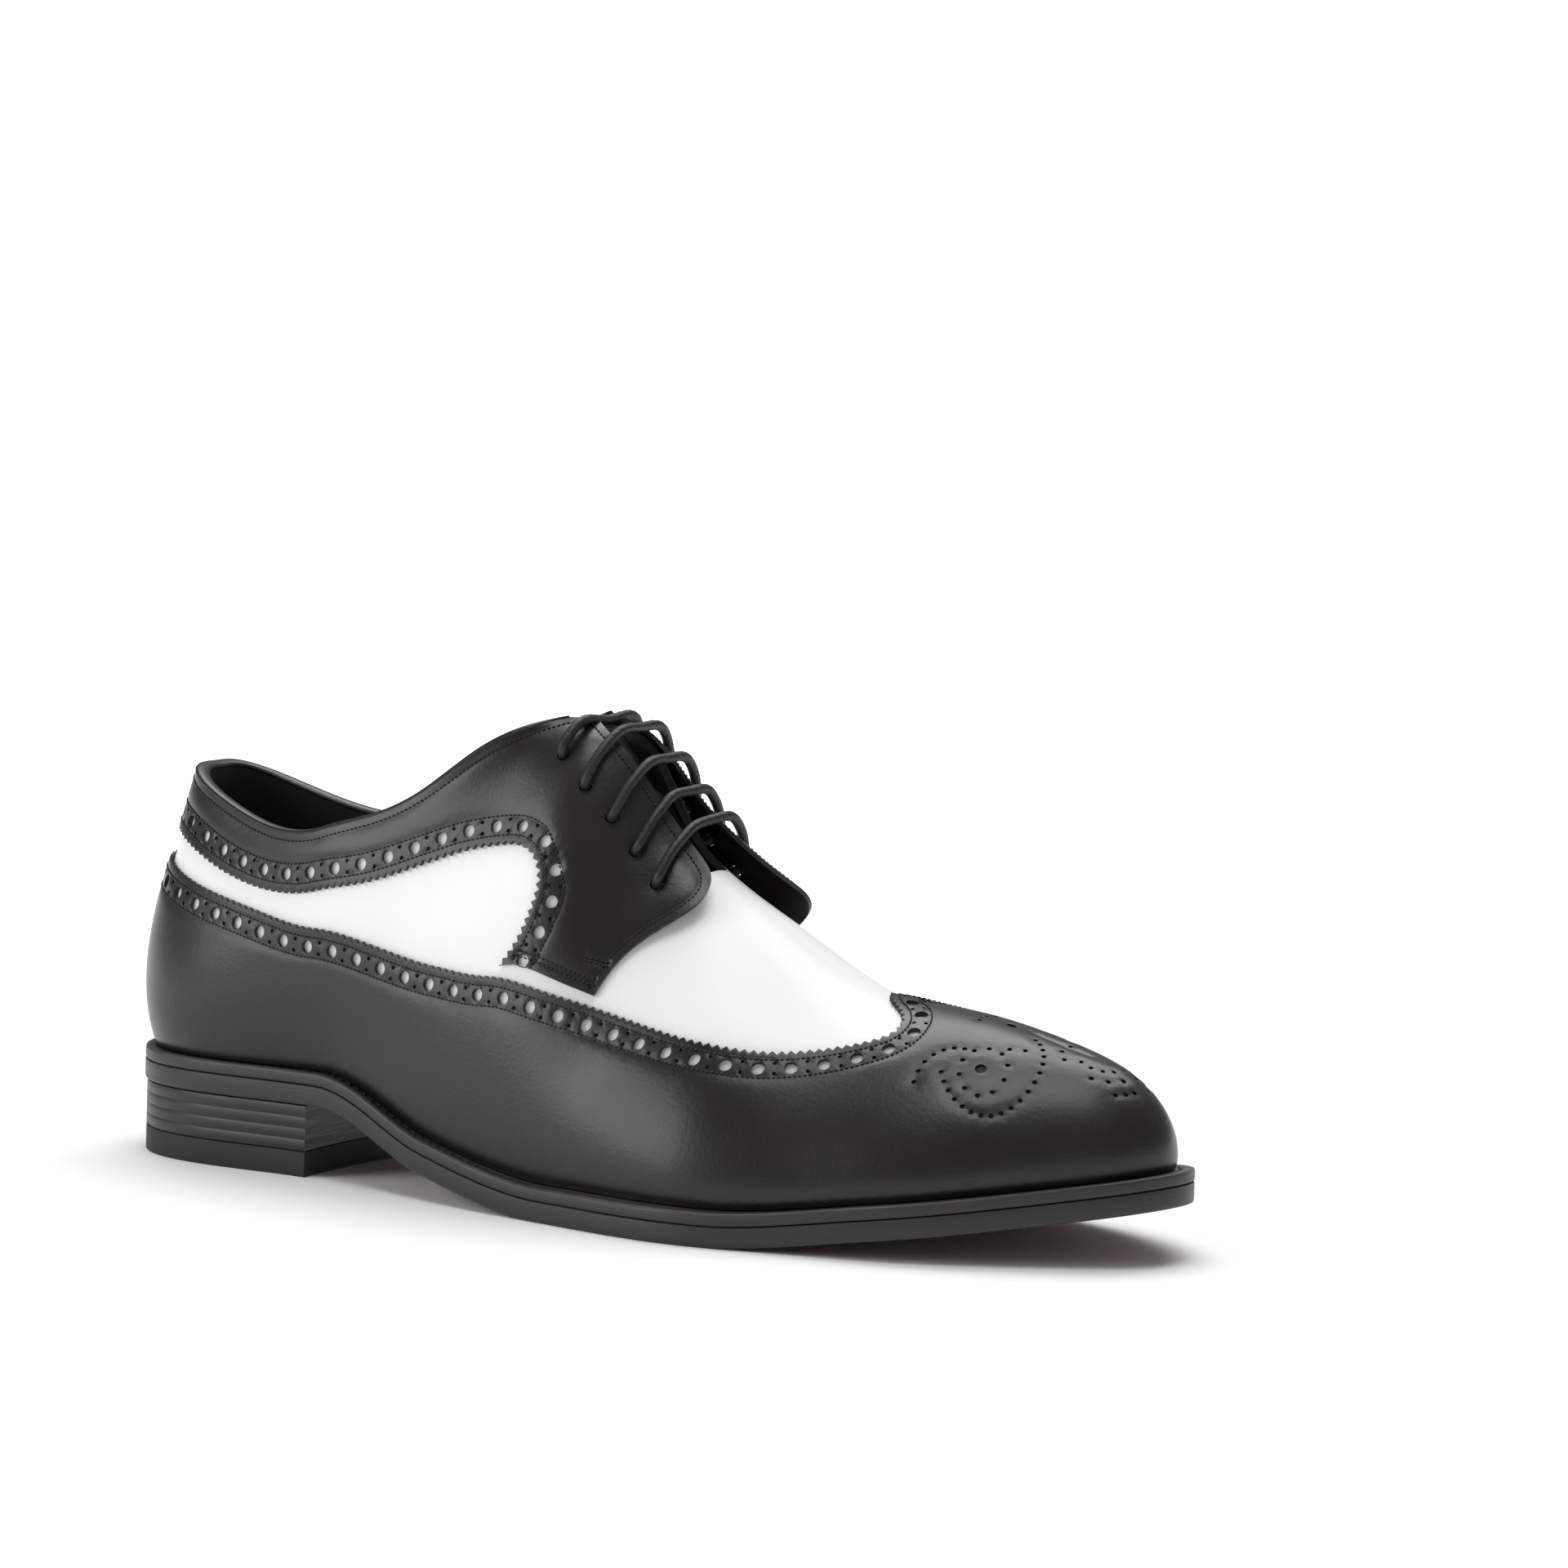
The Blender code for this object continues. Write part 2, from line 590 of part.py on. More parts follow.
def eyelet_outline(surface, place, rise):
    """Return a round hole's outline on the flat facets, from its real diameter."""
    along, up = surface.slopes(place, rise)
    first = along / np.linalg.norm(along)
    second = up - first * (up @ first)
    second /= np.linalg.norm(second)
    to_flat = np.linalg.pinv(np.stack([along, up], axis=1))
    angles = np.arange(EYELET_SIDES) * 2 * np.pi / EYELET_SIDES
    ring = [(first * np.cos(a) + second * np.sin(a)) * EYELET_DIAMETER / 2 for a in angles]
    return [(place + shift[0], rise + shift[1]) for shift in (to_flat @ side for side in ring)]


def ring(depth, level):
    """Return the points round the sole at a depth inside its outline and a level above it."""
    x, y = inset(LOOP, depth)
    return np.stack([x, y, SOLE_BOTTOM(x) + level], axis=1)


def bands(count, rings, closed):
    """Return the quads between rings, each ring above the one before."""
    pairs = [(r, r + 1) for r in range(rings - 1)] + ([(rings - 1, 0)] if closed else [])
    faces = []
    for low, high in pairs:
        for i in range(count):
            k = (i + 1) % count
            faces.append((low * count + i, low * count + k, high * count + k, high * count + i))
    return faces


def plate(name, rings, finish):
    """Make a solid plate from rings, closed below and above with strips across the shoe."""
    count = len(LOOP)
    middle = count // 2
    faces = bands(count, len(rings), closed=False)
    top = (len(rings) - 1) * count
    strips = [(0, 1, count - 1), (middle - 1, middle, middle + 1)]
    strips += [(i, i + 1, count - i - 1, count - i) for i in range(1, middle - 1)]
    faces += [tuple(k + top for k in strip) for strip in strips]
    faces += [strip[::-1] for strip in strips]
    return solid(name, np.concatenate(rings), faces, finish)


def make_outsole():
    """Make the leather sole with chamfered edges."""
    top, chamfer = OUTSOLE_THICKNESS, EDGE_CHAMFER
    rings = [ring(chamfer, 0), ring(0, chamfer), ring(0, top - chamfer / 2), ring(chamfer / 2, top)]
    return plate("outsole", rings, BLACK_EDGE)


def make_welt():
    """Make the welt: a strip round the top of the sole, under the foot of the upper."""
    low, high = OUTSOLE_THICKNESS + GAP, OUTSOLE_THICKNESS + WELT_THICKNESS
    depth = MARGIN(LOOP) + WALL
    rings = [ring(EDGE_CHAMFER / 2, low), ring(0, low + EDGE_CHAMFER / 2),
             ring(0, high - EDGE_CHAMFER), ring(EDGE_CHAMFER, high),
             ring(depth, high), ring(depth, low)]
    faces = bands(len(LOOP), len(rings), closed=True)
    return solid("welt", np.concatenate(rings), faces, BLACK_EDGE)


def make_insole():
    """Make the insole, inside the welt and the upper's wall."""
    depth = MARGIN(LOOP) + WALL + GAP
    low = OUTSOLE_THICKNESS + GAP
    high = OUTSOLE_THICKNESS + WELT_THICKNESS + INSOLE_RISE
    return plate("insole", [ring(depth, low), ring(depth, high)], LINING)


def heel_outline():
    """Return the heel's plan outline, counter-clockwise, with its hollow breast."""
    half = LOOP[:len(LOOP) // 2]
    front = np.interp(HEEL_LENGTH, OUTLINE_X(half), half)
    sides = half[half < front - TINY]
    places = np.r_[-front, -sides[:0:-1], sides, front]
    x, y = inset(places, EDGE_CHAMFER)
    breast = np.linspace(y[-1], y[0], BREAST_POINTS + 2)[1:-1]
    middle, reach = (y[0] + y[-1]) / 2, (y[0] - y[-1]) / 2
    hollow = x[-1] - BREAST_CURVE * (1 - ((breast - middle) / reach) ** 2)
    return np.r_[x, hollow], np.r_[y, breast]


def make_heel_layer(name, bottom, top, finish):
    """Make a part of the heel between two levels."""
    x, y = heel_outline()
    count = len(x)
    rings = [np.stack([x, y, np.full(count, level)], axis=1) for level in (bottom, top)]
    faces = bands(count, 2, closed=False)
    faces += [tuple(range(count, 2 * count)), tuple(range(count - 1, -1, -1))]
    return solid(name, np.concatenate(rings), faces, finish)


def eyelet_outlines(surface, inner_side, through_only=False):
    """Return the outlines of one side's eyelets, or of those that go on through the shell."""
    outlines = []
    for _, place, rise, through in EYELETS:
        if through or not through_only:
            outlines.append(eyelet_outline(surface, 2 - place if inner_side else place, rise))
    return outlines


def make_shell():
    """Make the hollow shell: open at the collar, the throat and underneath."""
    lining, skin = Layer(-WALL), Layer(0)
    outlines = [across_both(SHELL_TOP)]
    for inner_side in (False, True):
        outlines += eyelet_outlines(skin, inner_side, through_only=True)
    return panel("upper", outlines, lining, skin, WHITE_CALF)


def make_quarter(name, inner_side, under, over):
    """Make one black quarter: facing with its eyelets, and collar band."""
    outlines = [quarter_outline(inner_side)] + eyelet_outlines(over, inner_side)
    return panel(name, outlines, under, over, BLACK_CALF)


def lace_half(place, rise, surface):
    """Return half of a lace bar: out of its eyelet and up over the facing's edge."""
    radius = LACE_DIAMETER / 2
    points = []
    for level in np.linspace(rise, FACING_EDGE_RISE, LACE_STEPS):
        point = surface.at(place, level)
        normal = np.cross(*surface.slopes(place, level))
        normal /= np.linalg.norm(normal)
        if level == rise:
            points += [point - normal * OVERLAY_THICKNESS / 2, point + normal * radius / 2]
        else:
            share = (level - rise) / (FACING_EDGE_RISE - rise)
            stand = radius + LACE_CLEARANCE + LACE_HUMP * np.sin(np.pi * share / 2)
            points.append(point + normal * stand)
    return points


def lace_route(place, rise, surface):
    """Return a lace bar's points: out of one eyelet, over both facing edges, into the other."""
    knots = np.array(lace_half(place, rise, surface) + lace_half(2 - place, rise, surface)[::-1])
    steps = np.r_[0, np.cumsum(np.linalg.norm(np.diff(knots, axis=0), axis=1))]
    even = np.linspace(0, steps[-1], int(steps[-1] / (2 * LACE_DIAMETER)) + LACE_EXTRA_POINTS)
    return np.stack([spline(steps, knots[:, k])(even) for k in range(3)], axis=1)


def make_lace_bar(name, points):
    """Make one bar of the lace as a round cord with filled ends."""
    curve = bpy.data.curves.new(name, "CURVE")
    curve.dimensions = "3D"
    curve.bevel_depth = LACE_DIAMETER / 2
    curve.bevel_resolution = 2
    curve.use_fill_caps = True
    line = curve.splines.new("POLY")
    line.points.add(len(points) - 1)
    for knot, point in zip(line.points, points):
        knot.co = (*from_heel(point), 1)
    curve.materials.append(material(COTTON))
    thing = bpy.data.objects.new(name, curve)
    bpy.context.collection.objects.link(thing)
    return thing


def main():
    """Build the shoe in an empty scene."""
    for thing in list(bpy.data.objects):
        bpy.data.objects.remove(thing)

    make_outsole()
    make_welt()
    make_insole()
    make_heel_layer("heel_top_piece", 0, TOP_PIECE_THICKNESS, RUBBER)
    make_heel_layer("heel_stack", TOP_PIECE_THICKNESS + GAP, HEEL_HEIGHT - GAP, BLACK_EDGE)

    make_shell()
    under, over = Layer(GAP), Layer(GAP + OVERLAY_THICKNESS)
    panel("wing", [across_both(WING_TOP)], under, over, BLACK_CALF)
    under, over = Layer(GAP, lifted=True), Layer(GAP + OVERLAY_THICKNESS, lifted=True)
    make_quarter("quarter_outer", False, under, over)
    make_quarter("quarter_inner", True, under, over)

    low = Layer(-WALL - GAP - TONGUE_THICKNESS)
    high = Layer(-WALL - GAP)
    tongue = [edge(TONGUE_SIDE), edge(TONGUE_SIDE, inner_side=True)]
    panel("tongue", tongue, low, high, BLACK_CALF)

    for name, place, rise, _ in EYELETS:
        make_lace_bar(name.replace("eyelet", "lace_bar"), lace_route(place, rise, over))


main()
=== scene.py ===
"""The dressed look of a right longwing derby in black and white calf.

Every leather part is a layer of the last that the CAD model uses, in its frame and in metres. A
point on the last is a place (0 at the heel back, 1 at the toe tip, back to 2 on the inner side)
and a rise (0 at the feather edge, 1 at the topline or the ridge).
"""

import json
import logging
from dataclasses import dataclass, field
from enum import Enum
from typing import Callable, Sequence

import bmesh
import bpy
import numpy as np
from mathutils import Matrix, Vector
from mathutils.geometry import delaunay_2d_cdt
from mathutils.kdtree import KDTree

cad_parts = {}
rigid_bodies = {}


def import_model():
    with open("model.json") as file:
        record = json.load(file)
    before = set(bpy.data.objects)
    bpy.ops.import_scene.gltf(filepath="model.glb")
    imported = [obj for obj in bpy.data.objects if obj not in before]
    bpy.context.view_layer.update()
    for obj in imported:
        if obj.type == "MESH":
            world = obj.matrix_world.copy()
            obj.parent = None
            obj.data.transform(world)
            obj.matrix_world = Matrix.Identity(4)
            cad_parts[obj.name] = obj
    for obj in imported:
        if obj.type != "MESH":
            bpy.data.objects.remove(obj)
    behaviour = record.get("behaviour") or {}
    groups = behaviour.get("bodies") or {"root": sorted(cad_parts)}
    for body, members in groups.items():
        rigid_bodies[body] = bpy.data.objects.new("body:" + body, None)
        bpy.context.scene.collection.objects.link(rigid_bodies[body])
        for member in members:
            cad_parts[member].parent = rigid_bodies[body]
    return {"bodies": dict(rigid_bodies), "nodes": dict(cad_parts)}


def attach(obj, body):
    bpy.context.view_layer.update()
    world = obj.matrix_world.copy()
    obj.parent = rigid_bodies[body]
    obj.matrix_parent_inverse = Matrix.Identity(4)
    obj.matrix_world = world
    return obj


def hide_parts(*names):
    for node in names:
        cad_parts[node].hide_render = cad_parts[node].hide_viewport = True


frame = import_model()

log = logging.getLogger("spectator_shoe")
MM = 0.001
WHOLE_TURN = 2 * np.pi
# Small step of place or rise that slopes are measured over
STEP = 1e-4

Curve = np.ndarray

# Sole outline: place along the length, and the outer and inner half widths as shares of a size
OUTLINE = (
    # name, along, follows, outer, inner
    ("heel_back", 0.000, "heel", 0.000, 0.000),
    ("heel_turn", 0.020, "heel", 0.283, 0.285),
    ("heel_round", 0.052, "heel", 0.418, 0.420),
    ("heel_side", 0.115, "heel", 0.495, 0.495),
    ("heel_front", 0.210, "heel", 0.490, 0.475),
    ("waist", 0.390, "waist", 0.625, 0.400),
    ("waist_front", 0.520, "ball", 0.472, 0.335),
    ("ball_outer", 0.640, "ball", 0.503, 0.440),
    ("ball_inner", 0.735, "ball", 0.443, 0.500),
    ("vamp_front", 0.840, "ball", 0.355, 0.455),
    ("toe_shoulder", 0.930, "ball", 0.198, 0.342),
    ("toe_turn", 0.980, "ball", 0.080, 0.214),
    ("toe_tip", 1.000, "swing", -1.000, 1.000),
)

# Sections of the last, as shares of its sizes
SECTIONS = (
    # name, place, margin, along, half, body, follows, rise, swing, bulge, belly, shoulder, crown
    ("heel_back", 0.000, 0.60, 0.044, 0.000, 0.000, "back", 1.000, 0.00, 1.20, 0.30, 0.11, 0.38),
    ("heel_turn", 0.055, 0.60, 0.048, 0.155, 0.155, "back", 0.995, 0.00, 1.15, 0.30, 0.10, 0.38),
    ("heel_round", 0.100, 0.60, 0.070, 0.285, 0.285, "back", 0.955, 0.00, 1.00, 0.30, 0.07, 0.38),
    ("heel_side", 0.155, 0.60, 0.122, 0.392, 0.392, "back", 0.875, 0.00, 0.90, 0.31, 0.06, 0.36),
    ("ankle", 0.235, 0.65, 0.205, 0.490, 0.490, "ankle", 1.000, 0.00, 0.90, 0.32, 0.06, 0.34),
    ("facing_rear", 0.340, 0.75, 0.318, 0.450, 0.450, "instep", 0.770, 0.00, 0.85, 0.28, 0.07, 0.28),
    ("facing_top", 0.400, 0.82, 0.405, 0.290, 0.305, "instep", 0.985, 0.00, 0.85, 0.25, 0.09, 0.22),
    ("throat", 0.430, 0.88, 0.450, 0.000, 0.215, "instep", 1.020, 0.00, 0.85, 0.25, 0.11, 0.05),
    ("instep", 0.510, 1.00, 0.513, 0.000, 0.045, "instep", 0.860, 0.08, 0.85, 0.26, 0.15, 0.04),
    ("ball_outer", 0.620, 1.00, 0.617, 0.000, 0.000, "ball", 1.000, 0.35, 0.70, 0.28, 0.36, 0.03),
    ("ball_inner", 0.710, 1.00, 0.710, 0.000, 0.000, "ball", 0.735, 0.62, 0.65, 0.30, 0.48, 0.02),
    ("vamp_front", 0.800, 1.00, 0.795, 0.000, 0.000, "toe", 1.550, 0.80, 0.55, 0.34, 0.50, 0.02),
    ("toe_shoulder", 0.890, 0.95, 0.855, 0.000, 0.000, "toe", 1.250, 0.90, 0.45, 0.42, 0.50, 0.02),
    ("toe_turn", 0.950, 0.90, 0.888, 0.000, 0.000, "toe", 1.050, 0.93, 0.38, 0.46, 0.54, 0.02),
    ("toe_tip", 1.000, 0.90, 0.900, 0.000, 0.000, "toe", 0.970, 0.95, 0.35, 0.46, 0.58, 0.02),
)

# Panel edges on the last
WING_SIDE = (
    # name, place, rise
    ("heel_back", 0.000, 0.715),
    ("heel_turn", 0.063, 0.697),
    ("heel_side", 0.138, 0.674),
    ("ankle", 0.203, 0.655),
    ("ankle_front", 0.258, 0.590),
    ("waist_rear", 0.317, 0.527),
    ("waist", 0.374, 0.463),
    ("waist_front", 0.416, 0.400),
    ("throat", 0.440, 0.380),
    ("tab", 0.468, 0.383),
    ("tab_front", 0.508, 0.416),
    ("instep", 0.554, 0.449),
    ("ball_rear", 0.600, 0.472),
    ("ball", 0.640, 0.506),
    ("vamp_rear", 0.672, 0.550),
    ("vamp", 0.704, 0.612),
    ("cheek", 0.733, 0.681),
    ("valley_low", 0.748, 0.741),
    ("valley", 0.750, 0.804),
    ("neck", 0.740, 0.876),
    ("peak_side", 0.727, 0.940),
    ("peak", 0.722, 1.000),
)
FACING_FRONT = (
    # name, place, rise, share of the inner flap's longer reach
    ("facing_top", 0.414, 1.000, 0.00),
    ("facing_corner", 0.428, 0.966, 0.00),
    ("facing_upper", 0.444, 0.922, 0.00),
    ("facing_rear", 0.468, 0.899, 0.00),
    ("facing_middle", 0.492, 0.896, 0.20),
    ("facing_front", 0.521, 0.895, 0.60),
    ("facing_lower", 0.550, 0.883, 1.00),
    ("flap_corner", 0.565, 0.864, 1.00),
    ("flap_turn", 0.571, 0.828, 1.00),
    ("flap_nose", 0.570, 0.778, 1.00),
    ("flap_front", 0.561, 0.718, 1.00),
    ("flap_side", 0.541, 0.628, 0.90),
    ("tab_side", 0.521, 0.530, 0.70),
    ("tab_front", 0.508, 0.436, 0.50),
)
TAB_FOOT = (
    # name, place, rise, share of the inner flap's longer reach
    ("tab_front", 0.508, 0.436, 0.50),
    ("tab_middle", 0.465, 0.406, 0.30),
    ("tab_rear", 0.422, 0.413, 0.00),
)
COLLAR_LOOP = (
    # name, place, rise, share of the inner flap's longer reach
    ("tab_rear", 0.422, 0.413, 0.00),
    ("loop_foot", 0.432, 0.448, 0.00),
    ("loop_low", 0.438, 0.501, 0.00),
    ("loop_front", 0.439, 0.551, 0.00),
    ("loop_turn", 0.433, 0.590, 0.00),
    ("loop_top", 0.422, 0.630, 0.00),
    ("loop_crest", 0.405, 0.677, 0.00),
    ("loop_rear", 0.380, 0.727, 0.00),
    ("collar_front", 0.337, 0.757, 0.00),
    ("collar_ankle", 0.284, 0.741, 0.00),
    ("collar_rear", 0.241, 0.748, 0.00),
    ("collar_side", 0.151, 0.757, 0.00),
    ("collar_turn", 0.080, 0.793, 0.00),
    ("collar_back", 0.000, 0.800, 0.00),
)
SHELL_TOP = (
    # name, place, rise
    ("facing_top", 0.396, 1.000),
    ("slot_top", 0.411, 0.965),
    ("slot_corner", 0.430, 0.920),
    ("slot_upper", 0.460, 0.878),
    ("slot_middle", 0.500, 0.870),
    ("slot_lower", 0.545, 0.860),
    ("slot_turn", 0.560, 0.925),
    ("slot_front", 0.563, 1.000),
)
TONGUE_SIDE = (
    # name, place, rise
    ("tip_middle", 0.430, 1.000),
    ("tip_side", 0.430, 0.780),
    ("side", 0.500, 0.700),
    ("foot_side", 0.600, 0.790),
    ("foot_middle", 0.610, 1.000),
)
EYELETS = (
    # name, place, rise, whether it goes on through the shell
    ("eyelet_1", 0.427, 0.835, True),
    ("eyelet_2", 0.452, 0.755, True),
    ("eyelet_3", 0.478, 0.738, True),
    ("eyelet_4", 0.504, 0.737, False),
    ("eyelet_5", 0.531, 0.729, False),
)


# Toe ornament: arcs of small holes. Distances in millimetres, along from the heel back and out
# from the ridge; angles in degrees, 0 towards the toe and 90 outwards
MEDALLION = (
    # name, along, across, radius, start, turn, count, size
    ("centre_eye", 252.0, 0.0, 0.0, 0, 0, 1, 2.6),
    ("centre_arc", 252.0, 0.0, 7.6, 173, -34, 4, 1.2),
    ("side_eye", 255.6, 19.5, 0.0, 0, 0, 1, 3.0),
    ("side_ring", 256.2, 19.3, 5.8, 0, 324, 10, 1.3),
    ("outer_arc", 256.5, 15.7, 12.3, -66, 205, 19, 1.3),
    ("lead_arc", 250.5, 25.0, 8.8, 162, 99, 7, 1.3),
    ("lead_line", 285.8, 65.1, 60.0, 236, 10.8, 4, 1.3),
    ("front_eye", 277.0, 0.0, 0.0, 0, 0, 1, 2.8),
    ("front_heel_arc", 277.0, 0.0, 9.1, 172, -45, 5, 1.3),
    ("front_ring", 277.0, 0.0, 5.6, 110, -88, 4, 1.2),
    ("front_fan", 277.0, 0.0, 8.6, 4, 68, 6, 1.3),
    ("front_tip", 277.0, 0.0, 11.6, 14, 26, 3, 1.3),
)


def spline(keys: Sequence[float], values: Sequence[float]) -> Callable[[np.ndarray], np.ndarray]:
    """Return the natural cubic spline through the values.

    Args:
        keys: rising positions.
        values: one value a position.

    Returns:
        A function of position.
    """
    keys, values = np.asarray(keys, float), np.asarray(values, float)
    count, width = len(keys), np.diff(keys)
    matrix, right = np.zeros((count, count)), np.zeros(count)
    matrix[0, 0] = matrix[-1, -1] = 1
    for i in range(1, count - 1):
        matrix[i, i - 1:i + 2] = width[i - 1], 2 * (width[i - 1] + width[i]), width[i]
        slope = np.diff(values[i - 1:i + 2]) / width[i - 1:i + 1]
        right[i] = 6 * (slope[1] - slope[0])
    bend = np.linalg.solve(matrix, right)

    def curve(x: np.ndarray) -> np.ndarray:
        x = np.asarray(x, float)
        i = np.clip(np.searchsorted(keys, x, side="right") - 1, 0, count - 2)
        after, before, w = keys[i + 1] - x, x - keys[i], width[i]
        cubic = (bend[i] * after**3 + bend[i + 1] * before**3) / (6 * w)
        low = (values[i] / w - bend[i] * w / 6) * after
        high = (values[i + 1] / w - bend[i + 1] * w / 6) * before
        return cubic + low + high

    return curve


def loop_spline(keys, outer, inner=None) -> Callable[[np.ndarray], np.ndarray]:
    """Return a smooth closed curve over 0 to 2, outer side first, then the inner side back.

    Args:
        keys: places from 0 to 1.
        outer: values on the outer side.
        inner: values on the inner side, or None where both sides agree.

    Returns:
        A function of place.
    """
    inner = outer if inner is None else inner
    keys = np.r_[keys, 2 - np.asarray(keys)[-2:0:-1]]
    values = np.r_[outer, np.asarray(inner)[-2:0:-1]]
    curve = spline(np.r_[keys - 2, keys, keys + 2], np.r_[values, values, values])
    return lambda place: curve(np.mod(place, 2))


def steady(keys, values) -> Callable[[np.ndarray], np.ndarray]:
    """Return a cubic through the values that never swings past them.

    Args:
        keys: rising positions.
        values: one value a position.

    Returns:
        A function of position.
    """
    keys, values = np.asarray(keys, float), np.asarray(values, float)
    width = np.diff(keys)
    slope = np.diff(values) / width
    tangent = np.zeros(len(keys))
    for i in range(1, len(keys) - 1):
        if slope[i - 1] * slope[i] > 0:
            tangent[i] = 2 * slope[i - 1] * slope[i] / (slope[i - 1] + slope[i])
    tangent[-1] = 1.5 * slope[-1] - 0.5 * tangent[-2]

    def curve(x: np.ndarray) -> np.ndarray:
        x = np.clip(np.asarray(x, float), keys[0], keys[-1])
        i = np.clip(np.searchsorted(keys, x, side="right") - 1, 0, len(keys) - 2)
        u, w = (x - keys[i]) / width[i], width[i]
        start = values[i] * (1 + 2 * u) + tangent[i] * w * u
        end = values[i + 1] * (3 - 2 * u) + tangent[i + 1] * w * (u - 1)
        return start * (1 - u) ** 2 + end * u**2

    return curve


def ease(x: np.ndarray) -> np.ndarray:
    """Return a smooth step from 0 to 1."""
    x = np.clip(x, 0, 1)
    return x * x * (3 - 2 * x)


def linear(code: str) -> tuple[float, float, float, float]:
    """Return the linear colour of an sRGB hex value."""
    parts = [int(code[i:i + 2], 16) / 255 for i in (1, 3, 5)]
    return (*[c / 12.92 if c <= 0.04045 else ((c + 0.055) / 1.055) ** 2.4 for c in parts], 1.0)


def unit(vectors: np.ndarray) -> np.ndarray:
    """Return the rows of an array at length one."""
    return vectors / np.maximum(np.linalg.norm(vectors, axis=1, keepdims=True), 1e-12)


def half_place(place: np.ndarray) -> tuple[np.ndarray, np.ndarray]:
    """Return the same place on the outer side, 0 to 1, and whether it lies on the inner side."""
    around = np.mod(place, 2)
    inner = around > 1
    return np.where(inner, 2 - around, around), inner


def tube_faces(count: int, sides: int) -> list:
    """Return the faces of a tube closed at both ends, from its rings of points."""
    faces = [(i * sides + k, i * sides + (k + 1) % sides, (i + 1) * sides + (k + 1) % sides,
              (i + 1) * sides + k) for i in range(count - 1) for k in range(sides)]
    return faces + [tuple(range(sides))[::-1], tuple(range((count - 1) * sides, count * sides))]


def run_length(points: np.ndarray) -> np.ndarray:
    """Return each point's distance along a polyline."""
    return np.r_[0, np.cumsum(np.linalg.norm(np.diff(points, axis=0), axis=1))]


class Side(Enum):
    """The two sides of the shoe."""

    OUTER = "outer"
    INNER = "inner"

    def turn(self, flat: Curve) -> Curve:
        """Return a curve of the outer side, mirrored to the inner one where this is that side."""
        flat = np.array(flat, float)
        return flat if self is Side.OUTER else np.stack([2 - flat[:, 0], flat[:, 1]], axis=1)


